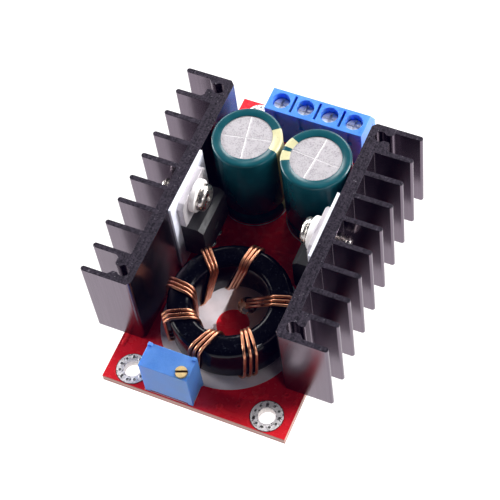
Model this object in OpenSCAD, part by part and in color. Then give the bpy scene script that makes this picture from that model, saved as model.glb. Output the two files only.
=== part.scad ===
// Boost converter module: a red circuit board between two black fin heatsinks,
// with a ring inductor, two capacitors, a terminal block and a trimmer.
// Origin under the middle of the module, +Z up, +Y towards the terminal block.

/* [Layout] */
// Gap between the trimmer and the winding
trim_gap = 1.1; // [0.6:0.1:4]
// Gap between the winding and the power devices
device_gap = 0.4; // [0.2:0.05:2]
// Gap between the power devices and the capacitors
cap_gap = 1.2; // [0.6:0.1:4]
// Gap between the capacitors and the terminal block
block_gap = 6.8; // [2:0.1:12]
// Gap between the two capacitors
cap_mid = 0.5; // [0.2:0.05:2]
// Gap between a capacitor and its heatsink
cap_side = 0.35; // [0.1:0.05:1]
// Least gap between the winding and a heatsink
core_side = 0.5; // [0.3:0.1:2]
// Least gap between a heatsink and the ring of a corner hole
ring_gap = 0.5; // [0.3:0.1:3]

/* [Board] */
// Width of the board beside a heatsink's inner face
board_side = 4.3; // [4:0.1:7]
// Thickness of the board
board_t = 1.6; // [1:0.1:2.4]
// Bore of the plated corner holes
corner_hole_d = 3.2; // [2.6:0.1:3.6]
// Outer diameter of the tinned ring round a corner hole
corner_ring_d = 6; // [5:0.1:6.4]
// Corner hole centre to the board's long edge
corner_in_x = 4.7; // [3.4:0.1:5]
// Corner hole centre to the board's short edge
corner_in_y = 3.2; // [3.2:0.05:4]
// Thickness of the tinned plating
plating_t = 0.1; // [0.06:0.02:0.2]

/* [Heatsinks] */
// Height of a heatsink, and of the pads and capacitors that match it
sink_h = 20; // [19:0.5:30]
// Depth of a heatsink, inner face to fin tips
sink_depth = 9.8; // [7:0.1:16]
// Thickness of the wall that carries the fins
sink_base = 2.5; // [2:0.1:3.4]
// Number of fins, even so that the middle is a gap
fin_count = 10; // [6:2:10]
// Distance from fin to fin
fin_pitch = 5.1; // [4.8:0.1:5.6]
// Thickness of a fin
fin_t = 1; // [0.8:0.1:1.4]
// Diameter of the screw channel in an end cell
channel_d = 2.2; // [2:0.1:2.4]
// Screw channel's axis to the inner face
channel_in = 2.35; // [2.2:0.05:2.6]
// Screw channel's axis to the middle of the end fin
channel_off = 2; // [1.9:0.05:2.3]
// Width of the channel's open neck
neck_w = 1.3; // [0.8:0.1:1.6]
// Reach of the channel's lips from the inner face
lip_reach = 4.4; // [4:0.1:5.5]

/* [Heatsink screws] */
// Head diameter of the screws under the board
foot_head_d = 4.4; // [3.8:0.1:4.8]
// Head height of the screws under the board
foot_head_h = 1.9; // [1.8:0.1:3]
// Length of those screws under the head
foot_len = 8; // [6:0.5:14]

/* [Power devices] */
// Width of an insulating pad
pad_w = 14; // [11:0.5:16]
// Thickness of an insulating pad
pad_t = 0.5; // [0.3:0.1:1]
// Gap between an insulating pad and the board
pad_lift = 0.3; // [0.1:0.1:0.6]
// Width of a device's case and tab
case_w = 10; // [9.6:0.1:10.6]
// Thickness of a device, tab included
case_t = 4.5; // [4.2:0.1:4.8]
// Height of the moulded case
case_h = 9.1; // [8.6:0.1:9.4]
// Gap between the case and the board
case_lift = 3.2; // [2.4:0.1:3.4]
// Thickness of the metal tab
tab_t = 1.2; // [1:0.1:1.5]
// Height of the tab above the case
tab_h = 6.5; // [6.4:0.1:7]
// Diameter of the hole in the tab
tab_hole_d = 3.6; // [3.5:0.05:4]
// Tab hole's centre to the top of the tab
tab_hole_down = 2.7; // [2.4:0.1:2.8]
// Distance from lead to lead
lead_pitch = 2.54; // [2.2:0.02:2.8]
// Width of a lead
lead_w = 0.8; // [0.6:0.05:1]
// Thickness of a lead
lead_t = 0.5; // [0.4:0.05:0.7]

/* [Clamp screws] */
// Thread diameter of a clamp screw
clamp_d = 3; // [2.5:0.1:3]
// Length of a clamp screw under its head
clamp_len = 8; // [7:0.5:12]
// Head diameter of a clamp screw
clamp_head_d = 5.2; // [5:0.1:6]
// Head height of a clamp screw
clamp_head_h = 1.2; // [1:0.1:2.4]
// Flange diameter of an insulating bush
bush_d = 6.4; // [6:0.1:7]
// Flange thickness of an insulating bush
bush_t = 1.2; // [0.9:0.1:1.9]
// Outer diameter of a lock washer
lock_d = 5.2; // [4.8:0.1:6]
// Thickness of a lock washer
lock_t = 0.4; // [0.3:0.1:1]

/* [Capacitors] */
// Diameter over the sleeve
cap_d = 13.2; // [12:0.1:16]
// Width of the sleeve's rim on the top
cap_rim = 1.8; // [1.2:0.1:2.4]
// Thickness of the sleeve
sleeve_t = 0.15; // [0.1:0.05:0.3]
// Distance between the two leads
cap_lead_pitch = 5; // [3.5:0.5:7.5]
// Diameter of a lead
cap_lead_d = 0.8; // [0.6:0.05:1]

/* [Inductor] */
// Outer diameter of the ring core
core_od = 23.2; // [21:0.1:26]
// Inner diameter of the ring core
core_hole_d = 14.2; // [13.4:0.1:15]
// Height of the ring core
core_h = 9; // [7:0.1:11]
// Radius of the core's edges
core_round = 1.2; // [0.6:0.1:1.6]
// Place of the core across the board
core_x = 0.5; // [-0.6:0.1:0.6]
// Diameter of one strand of the winding
strand_d = 0.64; // [0.4:0.02:0.64]
// Angle between neighbouring strands on the core's inner face
strand_step = 6.2; // [6.2:0.1:7]
// Angle between neighbouring strands on the core's outer face
strand_out_step = 4.2; // [4:0.1:7]
// Core axis to the board hole of the inner lead
inner_lead_r = 4.4; // [4:0.1:4.8]

/* [Terminal block] */
// Distance from pole to pole
pole_pitch = 5; // [5:0.02:5.16]
// Depth of the block on the board
block_d = 7; // [6.8:0.1:7.6]
// Depth of the block's flat top
block_top_d = 5.05; // [4.8:0.05:5.4]
// Height of the block
block_h = 10; // [10:0.1:12]
// Height of the upright part of the wire side
block_sill_h = 6.4; // [5.4:0.1:7]
// Diameter of the holes for a screwdriver
driver_hole_d = 3.5; // [3.3:0.1:3.7]
// Shank diameter of a terminal screw
pole_screw_d = 2.4; // [2:0.1:2.4]
// Head height of a terminal screw
pole_head_h = 1.6; // [1.2:0.1:1.9]
// Outer width of a clamp cage
cage_w = 3.5; // [3.2:0.1:3.5]
// Outer height of a clamp cage
cage_h = 4.2; // [3.8:0.1:4.2]
// Rise of a clamp cage from open to closed
cage_rise = 1.4; // [1:0.1:1.4]
// Width of a wire entry
entry_w = 3; // [2.4:0.1:3.4]

/* [Trimmer] */
// Width of the trimmer
trim_w = 9.5; // [9:0.1:9.8]
// Depth of the trimmer
trim_d = 4.8; // [4.4:0.1:4.9]
// Height of the trimmer above the board
trim_h = 10; // [9:0.1:12]
// Middle of the trimmer across the board
trim_x = -4.6; // [-4.7:0.1:-3]
// Trimmer's front face to the board's front edge
trim_in = 0.22; // [0:0.02:0.3]
// Head diameter of the adjusting screw
trim_screw_d = 2.2; // [1.8:0.1:2.3]
// Adjusting screw's axis to the right side of the trimmer
trim_screw_side = 1.55; // [1.5:0.05:2.2]
// Adjusting screw's axis to the front of the trimmer
trim_screw_front = 1.3; // [1.3:0.05:2]
// Distance from pin to pin
trim_pin_pitch = 2.54; // [2.2:0.02:2.8]
// Diameter of a pin
trim_pin_d = 0.5; // [0.4:0.05:0.6]

/* [Underside] */
// Length of the leads below the board
stub_l = 1.2; // [0.9:0.1:1.5]
// Length of the controller chip's case
chip_l = 4.9; // [4.6:0.1:5.2]
// Width of the controller chip's case
chip_w = 3.9; // [3.6:0.1:4.2]
// Height of the controller chip's case
chip_h = 1.4; // [1.1:0.1:1.5]

/* [Hidden] */
$fn = 48;

// Levels of the board
floor_z = foot_head_h;
deck_z = floor_z + board_t;
stub_z = -board_t - stub_l;
left = -1;
right = 1;
sides = [left, right];
ends = [-1, 1];
through = 0.5;

// Clearances of the fits
press_gap = 0.02;
fit_gap = 0.03;
turn_gap = 0.06;
hole_gap = 0.15;

// Places along the board from its front edge, to a tenth: trimmer, core, devices, capacitors, terminal block
function tenth(v) = round(v * 10) / 10;
strand_gap = 0.06;
wire_reach = core_od / 2 + strand_gap + strand_d;
sink_gap = max(2 * (cap_d / 2 + cap_side) + cap_d + cap_mid, 2 * (wire_reach + abs(core_x) + core_side));
sink_l = (fin_count - 1) * fin_pitch + fin_t;
case_face = sink_gap / 2 - pad_t - case_t;
cap_x = (cap_d + cap_mid) / 2;
core_beside = case_face - abs(core_x);
core_behind = sqrt(max(0, pow(wire_reach + device_gap, 2) - core_beside * core_beside));
cap_behind = sqrt(max(0, pow(cap_d / 2 + cap_gap, 2) - pow(case_face - cap_x, 2)));
core_to_device = core_behind + case_w / 2;
device_to_block = case_w / 2 + cap_behind + cap_d / 2 + block_gap;
sink_room = sink_l / 2 + ring_gap + corner_ring_d / 2 + corner_in_y;
core_off = tenth(max(trim_in + trim_d + trim_gap + wire_reach, sink_room - core_to_device));
device_off = tenth(core_off + core_to_device);
cap_off = tenth(device_off + case_w / 2 + cap_behind);
block_off = tenth(max(device_off + device_to_block, device_off + sink_room - block_d));
board_l = block_off + block_d;
board_w = sink_gap + 2 * board_side;
board_front = -board_l / 2;
board_back = board_l / 2;
core_y = board_front + core_off;
device_y = board_front + device_off;
cap_y = board_front + cap_off;
block_y = board_front + block_off;

// Corner holes
corner_x = board_w / 2 - corner_in_x;
corner_y = board_l / 2 - corner_in_y;

// Heatsink profile
sink_corner = 0.8;
lip_bevel = 0.5;
lip_cut = 0.3;
channel_x = sink_gap / 2 + channel_in;
channel_y = sink_l / 2 - fin_t / 2 - channel_off;
tip_steps = 8;
channel_steps = 18;
foot_shank_d = channel_d - 2 * turn_gap;
foot_hole_d = channel_d + 2 * hole_gap;

// Screw heads: share of the head that a cross recess spans, and the pan head's shares of radius and height
recess_part = 0.55;
foot_recess_w = 0.7;
foot_recess_t = 0.9;
clamp_recess_w = 0.8;
clamp_recess_t = 0.7;
pan_head = [[1, 0], [1, 0.5], [0.94, 0.76], [0.75, 0.94], [0.4, 1], [0, 1]];

// Power device levels above the board, and stack thicknesses from the heatsink
pad_h = sink_h;
case_top = case_lift + case_h;
tab_top = case_top + tab_h;
bolt_z = tab_top - tab_hole_down;
tab_face = pad_t + tab_t;
bush_face = tab_face + bush_t;
lock_face = bush_face + lock_t;
bevel_w = 1;
bevel_h = 0.8;
tongue_in = 0.8;
tongue_w = case_w - 2 * tongue_in;
tongue_up = 1;
tongue_low = case_lift + tongue_up;
tab_corner = 0.9;
lead_out = 2.6;
lead_shoulder_w = 1.3;
lead_shoulder_gap = 1;
lead_taper = 0.3;
dimple_d = 2;
dimple_t = 0.15;

// Capacitors, from the board up
cap_h = sink_h;
can_r = cap_d / 2 - sleeve_t - press_gap;
can_top = cap_h - sleeve_t - press_gap;
can_low = 0.3;
crimp_z = 2.8;
crimp_h = 0.7;
crimp_t = 0.45;
cap_edge = 0.3;
can_lip = 1;
seal_r = can_r - can_lip;
seal_h = 1.8;
score_w = 0.25;
score_t = 0.12;
left_score = 10.5;
right_score = -5.3;

// Inductor: angles at which each turn passes the inner and the outer top edge
turns = [[15, 15], [-40, -50], [-86, -98], [-126, -143], [-158, -177], [-216, -224], [-267, -273]];
strand_sides = 8;
core_low = strand_d + 2 * strand_gap;
core_top = core_low + core_h;
wire_in_r = core_hole_d / 2 - strand_d / 2 - strand_gap;
wire_out_r = core_od / 2 + strand_d / 2 + strand_gap;
wire_low = core_low - strand_d / 2 - strand_gap;
wire_top = core_top + strand_d / 2 + strand_gap;
wire_bend = core_round + strand_d / 2 + strand_gap;
first_turn = turns[0][0];
last_turn = turns[len(turns) - 1][1];
lead_gap = 0.08;
lead_spread = strand_d + lead_gap;
inner_lead_angle = 81;
lead_rise = 0.8;
strand_count = 3;
inductor_hole_d = strand_count * lead_spread + 2 * hole_gap;

// Terminal block
pole_count = 4;
block_w = pole_count * pole_pitch;
rear_wall = 0.6;
pin_t = 0.5;
pin_w = 1;
pole_in = 2.65;
pole_y = block_y + pole_in;
chamber_w = cage_w + 2 * hole_gap;
chamber_d = 4;
ledge_t = 0.6;
cage_low = 0.7;
cage_d = 2.9;
cage_top_t = 0.8;
cage_floor_t = 0.7;
cage_side_t = 0.4;
cage_room = 0.1;
chamber_h = cage_low + cage_h + cage_rise + cage_room;
bar_t = 0.6;
bar_w = 2.2;
bar_gap = 0.1;
bar_z = cage_low + cage_h - cage_top_t - bar_gap;
bar_room = 0.2;
bar_end = block_y + rear_wall + chamber_d - bar_room;
head_z = chamber_h + ledge_t + turn_gap / 2;
pole_head_d = driver_hole_d - 2 * turn_gap;
entry_low = cage_low + cage_floor_t;
entry_h = bar_z - entry_low;
divider_w = 0.55;
divider_d = 3.85;
divider_h = 3;
divider_in = 0.7;
notch_w = 0.9;
notch_h = 3.4;
notch_t = 0.4;
notch_down = 0.5;

// Trimmer
trim_y = board_front + trim_in + trim_d / 2;
trim_foot = 0.6;
trim_foot_w = 1;
trim_wall = 0.6;
trim_base_t = 0.9;
trim_lug_w = 0.8;
trim_lug_d = 0.7;
trim_lug_h = 0.35;
trim_screw_x = trim_x + trim_w / 2 - trim_screw_side;
trim_screw_y = board_front + trim_in + trim_screw_front;
trim_screw_l = 6;
trim_screw_up = 0.5;
slot_w = 0.45;
slot_t = 0.6;
slot_part = 0.85;
slot_turn = 21;

// Underside parts: places as [x, y, turn] from the devices' line, the core or the front edge
chip_x = -3.5;
chip_y = device_y + 4.5;
chip_gap = 0.15;
chip_lead_pitch = 1.27;
chip_lead_rows = 4;
chip_lead_w = 0.42;
chip_lead_t = 0.2;
chip_lead_out = 1.05;
resistor_size = [2, 1.25, 0.5];
resistors_by_chip = [[2, 2.4, 0], [2, 4.4, 0], [2, 6.4, 0], [5.2, 2.4, 0], [5.2, 4.4, 0]];
resistors_by_trimmer = [[-3, 6.4, 0], [-6.2, 6.4, 0], [3, 6, 90]];
capacitor_size = [2, 1.25, 0.85];
capacitors_by_chip = [[2, 8.6, 0], [5.2, 6.6, 0], [5, -6, 90], [-2.6, -6, 90]];
sense_size = [6.3, 3.1, 0.55];
sense_by_core = [[-4, -0.4, 0], [-4, -4.4, 0]];
joint_h = 0.9;
joint_lip = 0.5;
dome_d = 3.8;
dome_h = 0.9;
dome_shape = [[0, 0], [0.48, 0.12], [0.84, 0.5], [1, 1], [0, 1]];

// Places of the leads on the board
cap_lead_places = [for (s = sides) for (e = ends) [s * cap_x + e * cap_lead_pitch / 2, cap_y]];
device_lead_x = sink_gap / 2 - pad_t - lead_out;
device_lead_places = [for (s = sides) for (i = [-1:1]) [s * device_lead_x, device_y + i * lead_pitch]];
pole_places = [for (i = [0:pole_count - 1]) (i - (pole_count - 1) / 2) * pole_pitch];
pin_y = block_y + rear_wall + press_gap + pin_t / 2;
pin_places = [for (x = pole_places) [x, pin_y]];
trim_pin_places = [for (i = [-1:1]) [trim_x + i * trim_pin_pitch, trim_y]];
foot_places = [for (s = sides) for (e = ends) [s * channel_x, device_y + e * channel_y]];
inner_lead = [core_x + inner_lead_r * cos(inner_lead_angle), core_y + inner_lead_r * sin(inner_lead_angle)];
outer_lead = [core_x + wire_out_r * cos(last_turn), core_y + wire_out_r * sin(last_turn)];

// Points of an arc
function arc(x, y, r, from, to, steps) =
    [for (i = [0:steps]) let (a = from + (to - from) * i / steps) [x + r * cos(a), y + r * sin(a)]];

// Places a child once at each place of a list
module at(places, z = 0) {
    for (p = places) translate([p[0], p[1], z]) children();
}

// Places a device's own frame: +X away from the heatsink's face, Z from the board's top
module on_sink(side) {
    translate([side * sink_gap / 2, device_y, deck_z]) rotate([0, 0, side == right ? 180 : 0]) children();
}

// Turns a shape drawn up along Z so that it lies along +X at the clamp screw's height
module along_bolt(x) {
    translate([x, 0, bolt_z]) rotate([0, 90, 0]) children();
}

// Cross recess cut into a screw's head
module cross(length, width, depth) {
    for (a = [0, 90]) rotate([0, 0, a]) translate([-length / 2, -width / 2, 0]) cube([length, width, depth]);
}

module circuit_board() {
    color("firebrick") difference() {
        translate([-board_w / 2, board_front, floor_z]) cube([board_w, board_l, board_t]);
        translate([0, 0, floor_z - through]) board_holes(board_t + 2 * through);
    }
}

// Every hole that goes through the board
module board_holes(h) {
    at([for (s = sides) for (e = ends) [s * corner_x, e * corner_y]])
        cylinder(d = corner_hole_d + 2 * plating_t + 2 * press_gap, h = h);
    at(foot_places) cylinder(d = foot_hole_d, h = h);
    at(cap_lead_places) cylinder(d = cap_lead_d + 2 * hole_gap, h = h);
    at(device_lead_places) cylinder(d = norm([lead_w, lead_t]) + 2 * hole_gap, h = h);
    at(pin_places) cylinder(d = norm([pin_w, pin_t]) + 2 * hole_gap, h = h);
    at(trim_pin_places) cylinder(d = trim_pin_d + 2 * hole_gap, h = h);
    at([inner_lead, outer_lead]) cylinder(d = inductor_hole_d, h = h);
}

// Tinned eyelets that line the corner holes
module mounting_hole_plating() {
    color("gainsboro") at([for (s = sides) for (e = ends) [s * corner_x, e * corner_y]], floor_z)
        rotate_extrude() polygon([
            [corner_hole_d / 2, -plating_t],
            [corner_ring_d / 2, -plating_t],
            [corner_ring_d / 2, 0],
            [corner_hole_d / 2 + plating_t, 0],
            [corner_hole_d / 2 + plating_t, board_t],
            [corner_ring_d / 2, board_t],
            [corner_ring_d / 2, board_t + plating_t],
            [corner_hole_d / 2, board_t + plating_t]]);
}

function fin_y(i) = (i - (fin_count - 1) / 2) * fin_pitch;
function fin_tip(i) = arc(sink_depth - fin_t / 2, fin_y(i), fin_t / 2, -90, 90, tip_steps);
function fin_roots(i) = [[sink_base, fin_y(i) + fin_t / 2], [sink_base, fin_y(i + 1) - fin_t / 2]];

// Outline of the end cell, with its open screw channel between two lips
function channel_outline() = let (near = fin_y(0) + fin_t / 2, far = fin_y(1) - fin_t / 2,
        mid = -channel_y, open = asin(neck_w / channel_d))
    concat(
        [[lip_reach + lip_bevel, near], [lip_reach, near + lip_bevel],
            [lip_reach, mid - neck_w / 2 - lip_cut], [lip_reach - lip_cut, mid - neck_w / 2]],
        arc(channel_in, mid, channel_d / 2, -open, open - 360, channel_steps),
        [[lip_reach - lip_cut, mid + neck_w / 2], [lip_reach, mid + neck_w / 2 + lip_cut],
            [lip_reach, far - lip_bevel], [lip_reach + lip_bevel, far]]);

// Half of a heatsink's section, from the end corner to the middle gap
function half_sink() = concat(
    [[0, -sink_l / 2 + sink_corner], [sink_corner, -sink_l / 2]],
    fin_tip(0), channel_outline(), fin_tip(1),
    [for (i = [2:fin_count / 2 - 1]) each concat(fin_roots(i - 1), fin_tip(i))],
    [[sink_base, fin_y(fin_count / 2 - 1) + fin_t / 2]]);

module heatsink(side) {
    half = half_sink();
    last = len(half) - 1;
    on_sink(side) difference() {
        linear_extrude(sink_h) polygon([
            for (p = half) [-p[0], p[1]],
            for (i = [last:-1:0]) [-half[i][0], -half[i][1]]]);
        along_bolt(-sink_base - through) cylinder(d = clamp_d + 2 * fit_gap, h = sink_base + 2 * through);
    }
}

module left_heatsink() {
    color("#2b2a2e") heatsink(left);
}

module right_heatsink() {
    color("#2b2a2e") heatsink(right);
}

// Screws from below that hold the heatsinks by their channels, and carry the module as feet
module heatsink_screws() {
    edge = 0.4;
    color("silver") at(foot_places) difference() {
        rotate_extrude() polygon([
            [0, 0],
            [foot_head_d / 2 - edge, 0],
            [foot_head_d / 2, edge],
            [foot_head_d / 2, foot_head_h],
            [foot_shank_d / 2, foot_head_h],
            [foot_shank_d / 2, foot_head_h + foot_len - edge],
            [foot_shank_d / 2 - edge, foot_head_h + foot_len],
            [0, foot_head_h + foot_len]]);
        translate([0, 0, -through]) cross(foot_head_d * recess_part, foot_recess_w, through + foot_recess_t);
    }
}

module insulator_pad(side) {
    on_sink(side) difference() {
        translate([0, -pad_w / 2, pad_lift]) cube([pad_t, pad_w, pad_h]);
        along_bolt(-through) cylinder(d = clamp_d + 2 * hole_gap, h = pad_t + 2 * through);
    }
}

module left_insulator_pad() {
    color("white") insulator_pad(left);
}

module right_insulator_pad() {
    color("white") insulator_pad(right);
}

// Moulded case with a bevelled top edge, a dimple in front and a pocket for the tab's tongue
module device_case(side) {
    on_sink(side) translate([pad_t, 0, 0]) difference() {
        rotate([90, 0, 0]) linear_extrude(case_w, center = true) polygon([
            [0, case_lift],
            [case_t - bevel_w / 2, case_lift],
            [case_t, case_lift + bevel_h],
            [case_t, case_top - bevel_h],
            [case_t - bevel_w, case_top],
            [0, case_top]]);
        translate([-through, -tongue_w / 2, tongue_low])
            cube([through + tab_t, tongue_w, case_top - tongue_low + through]);
        translate([case_t - dimple_t, 0, case_lift + case_h / 2])
            rotate([0, 90, 0]) cylinder(d = dimple_d, h = dimple_t + through);
    }
}

module transistor_case() {
    color("#1c1c1e") device_case(left);
}

module rectifier_case() {
    color("#1c1c1e") device_case(right);
}

// Metal tab with cut corners, and the tongue that runs down behind the case
module device_tab(side) {
    on_sink(side) difference() {
        translate([pad_t, 0, 0]) rotate([90, 0, 90]) linear_extrude(tab_t) polygon([
            [-tongue_w / 2, tongue_low],
            [tongue_w / 2, tongue_low],
            [tongue_w / 2, case_top],
            [case_w / 2, case_top],
            [case_w / 2, tab_top - tab_corner],
            [case_w / 2 - tab_corner, tab_top],
            [-case_w / 2 + tab_corner, tab_top],
            [-case_w / 2, tab_top - tab_corner],
            [-case_w / 2, case_top],
            [-tongue_w / 2, case_top]]);
        along_bolt(pad_t - through) cylinder(d = tab_hole_d, h = tab_t + 2 * through);
    }
}

module transistor_tab() {
    color("lightgray") device_tab(left);
}

module rectifier_tab() {
    color("lightgray") device_tab(right);
}

// Three leads with a wide shoulder under the case
module device_leads(side) {
    on_sink(side) for (i = [-1:1]) translate([pad_t + lead_out - lead_t / 2, i * lead_pitch, 0])
        rotate([90, 0, 90]) linear_extrude(lead_t) polygon([
            [-lead_w / 2, stub_z],
            [lead_w / 2, stub_z],
            [lead_w / 2, lead_shoulder_gap],
            [lead_shoulder_w / 2, lead_shoulder_gap + lead_taper],
            [lead_shoulder_w / 2, case_lift],
            [-lead_shoulder_w / 2, case_lift],
            [-lead_shoulder_w / 2, lead_shoulder_gap + lead_taper],
            [-lead_w / 2, lead_shoulder_gap]]);
}

module transistor_leads() {
    color("silver") device_leads(left);
}

module rectifier_leads() {
    color("silver") device_leads(right);
}

// Shoulder bush that keeps the clamp screw clear of the tab
module bush(side) {
    edge = 0.3;
    on_sink(side) along_bolt(tab_face) rotate_extrude() polygon([
        [clamp_d / 2 + fit_gap, press_gap - tab_t],
        [tab_hole_d / 2 - fit_gap, press_gap - tab_t],
        [tab_hole_d / 2 - fit_gap, 0],
        [bush_d / 2, 0],
        [bush_d / 2, bush_t - edge],
        [bush_d / 2 - edge, bush_t],
        [clamp_d / 2 + fit_gap, bush_t]]);
}

module left_bush() {
    color("ivory") bush(left);
}

module right_bush() {
    color("ivory") bush(right);
}

// Split ring under the clamp screw's head
module lock_washer(side) {
    split = 0.5;
    on_sink(side) along_bolt(bush_face) difference() {
        cylinder(d = lock_d, h = lock_t);
        translate([0, 0, -through]) cylinder(d = clamp_d + 2 * hole_gap, h = lock_t + 2 * through);
        translate([0, -split / 2, -through]) cube([lock_d, split, lock_t + 2 * through]);
    }
}

module left_lock_washer() {
    color("darkgray") lock_washer(left);
}

module right_lock_washer() {
    color("darkgray") lock_washer(right);
}

// Pan head screw, threaded into the heatsink
module clamp_screw(side) {
    tip = 0.3;
    on_sink(side) along_bolt(lock_face) difference() {
        rotate_extrude() polygon([
            [0, -clamp_len],
            [clamp_d / 2 - tip, -clamp_len],
            [clamp_d / 2, tip - clamp_len],
            [clamp_d / 2, 0],
            for (p = pan_head) [p[0] * clamp_head_d / 2, p[1] * clamp_head_h]]);
        translate([0, 0, clamp_head_h - clamp_recess_t])
            cross(clamp_head_d * recess_part, clamp_recess_w, clamp_recess_t + through);
    }
}

module left_clamp_screw() {
    color("silver") clamp_screw(left);
}

module right_clamp_screw() {
    color("silver") clamp_screw(right);
}

// Places a capacitor's own frame on the board
module at_capacitor(side) {
    translate([side * cap_x, cap_y, deck_z]) children();
}

// Can with a crimp near its foot, a recess for the seal and a cross scored into its top
module capacitor_can(side) {
    at_capacitor(side) difference() {
        rotate_extrude() polygon([
            [0, seal_h],
            [seal_r, seal_h],
            [seal_r, can_low],
            [can_r, can_low],
            [can_r, crimp_z - crimp_h],
            [can_r - crimp_t, crimp_z],
            [can_r, crimp_z + crimp_h],
            [can_r, can_top - cap_edge],
            [can_r - cap_edge, can_top],
            [0, can_top]]);
        translate([0, 0, can_top - score_t]) rotate([0, 0, side == left ? left_score : right_score])
            cross(2 * (can_r - cap_rim), score_w, score_t + through);
    }
}

module left_capacitor_can() {
    color("gainsboro") capacitor_can(left);
}

module right_capacitor_can() {
    color("gainsboro") capacitor_can(right);
}

// Outline of the sleeve's outer or inner side, at a distance inside the sleeve's surface
function sleeve_side(t) = [
    [cap_d / 2 - t, can_low],
    [cap_d / 2 - t, crimp_z - crimp_h],
    [cap_d / 2 - crimp_t - t, crimp_z],
    [cap_d / 2 - t, crimp_z + crimp_h],
    [cap_d / 2 - t, cap_h - cap_edge - sleeve_t],
    [cap_d / 2 - cap_edge - sleeve_t, cap_h - t],
    [cap_d / 2 - cap_rim, cap_h - t]];

// Printed sleeve, shrunk round the can and over its top edge
module capacitor_sleeve(side) {
    inner = sleeve_side(sleeve_t);
    last = len(inner) - 1;
    at_capacitor(side) rotate_extrude() polygon([
        each sleeve_side(0),
        for (i = [last:-1:0]) inner[i]]);
}

module left_capacitor_sleeve() {
    color("#1d5f5c") capacitor_sleeve(left);
}

module right_capacitor_sleeve() {
    color("#1d5f5c") capacitor_sleeve(right);
}

// Rubber seal in the can's mouth
module capacitor_seal(side) {
    at_capacitor(side) difference() {
        cylinder(r = seal_r - press_gap, h = seal_h - press_gap);
        for (e = ends) translate([e * cap_lead_pitch / 2, 0, -through])
            cylinder(d = cap_lead_d + 2 * press_gap, h = seal_h + 2 * through);
    }
}

module left_capacitor_seal() {
    color("#2a2a2a") capacitor_seal(left);
}

module right_capacitor_seal() {
    color("#2a2a2a") capacitor_seal(right);
}

module capacitor_leads(side) {
    at_capacitor(side) for (e = ends) translate([e * cap_lead_pitch / 2, 0, stub_z])
        cylinder(d = cap_lead_d, h = seal_h - press_gap - stub_z);
}

module left_capacitor_leads() {
    color("silver") capacitor_leads(left);
}

module right_capacitor_leads() {
    color("silver") capacitor_leads(right);
}

// Coated ring with rounded edges
module inductor_core() {
    r = core_round;
    steps = 5;
    low = core_low + r;
    high = core_top - r;
    color("#161618") translate([core_x, core_y, deck_z]) rotate_extrude($fn = 96) polygon(concat(
        arc(core_od / 2 - r, low, r, -90, 0, steps),
        arc(core_od / 2 - r, high, r, 0, 90, steps),
        arc(core_hole_d / 2 + r, high, r, 90, 180, steps),
        arc(core_hole_d / 2 + r, low, r, 180, 270, steps)));
}

// One turn's section round the core as [radius, height], from the inner top edge outwards
bend_steps = 3;
turn_section = concat(
    arc(wire_in_r + wire_bend, wire_top - wire_bend, wire_bend, 180, 90, bend_steps),
    arc(wire_out_r - wire_bend, wire_top - wire_bend, wire_bend, 90, 0, bend_steps),
    [[wire_out_r, (wire_top + wire_low) / 2]],
    arc(wire_out_r - wire_bend, wire_low + wire_bend, wire_bend, 0, -90, bend_steps),
    arc(wire_in_r + wire_bend, wire_low + wire_bend, wire_bend, 270, 180, bend_steps));
turn_points = len(turn_section);
outer_top = 2 * bend_steps + 1;
outer_low = outer_top + 2;

// Length along the section up to point i
function along(i) = i == 0 ? 0
    : along(i - 1) + norm(turn_section[i % turn_points] - turn_section[i - 1]);

// Angle of point i of turn k: it drifts evenly across the top, keeps down the outer face, and then drifts on
function turn_angle(k, i) = lookup(along(i), [
    [0, turns[k][0]],
    [along(outer_top), turns[k][1]],
    [along(outer_low), turns[k][1]],
    [along(turn_points), k + 1 < len(turns) ? turns[k + 1][0] : turns[k][1]]]);

// Angle from strand to strand at a radius
function strand_angle(r) = lookup(r, [[wire_in_r, strand_step], [wire_out_r, strand_out_step]]);

// A point given by radius, angle and height about the core's axis
function round_core(r, a, z) = [core_x + r * cos(a), core_y + r * sin(a), z];

// The route of one strand: up from the inner lead's hole, round the core, down into the outer lead's hole
function lead_shift(hole, angle, s) =
    [hole[0] - s * lead_spread * sin(angle), hole[1] + s * lead_spread * cos(angle)];
function lead_point(hole, angle, s, z) = [each lead_shift(hole, angle, s), z];
function strand_route(s) = concat(
    [lead_point(inner_lead, first_turn, s, -board_t), lead_point(inner_lead, first_turn, s, lead_rise)],
    [for (k = [0:len(turns) - 1])
        for (i = [(k == 0 ? 1 : 0):(k + 1 < len(turns) ? turn_points - 1 : outer_top)])
            let (r = turn_section[i][0])
                round_core(r, turn_angle(k, i) + s * strand_angle(r), turn_section[i][1])],
    [lead_point(outer_lead, last_turn, s, lead_rise), lead_point(outer_lead, last_turn, s, -board_t)]);

function unit(v) = v / norm(v);

// Direction of the route at point i, level at neither end of the leads
function heading(route, i) = let (last = len(route) - 1)
    i == 0 || i == last ? [0, 0, i == 0 ? 1 : -1]
    : unit(unit(route[i + 1] - route[i]) + unit(route[i] - route[i - 1]));

// Angle about the core that a ring's frame is set by; both leads keep that of their own turn
function frame_angle(route, i) = i < 2 ? first_turn : i > len(route) - 3 ? last_turn
    : atan2(route[i][1] - core_y, route[i][0] - core_x);

// Ring of points round the route at point i
function strand_ring(route, i) = let (
        t = heading(route, i),
        a = frame_angle(route, i),
        e = [-sin(a), cos(a), 0],
        b = unit(e - (e * t) * t),
        n = cross(t, b))
    [for (j = [0:strand_sides - 1]) let (q = 360 * j / strand_sides)
        route[i] + strand_d / 2 * (b * cos(q) + n * sin(q))];

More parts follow.
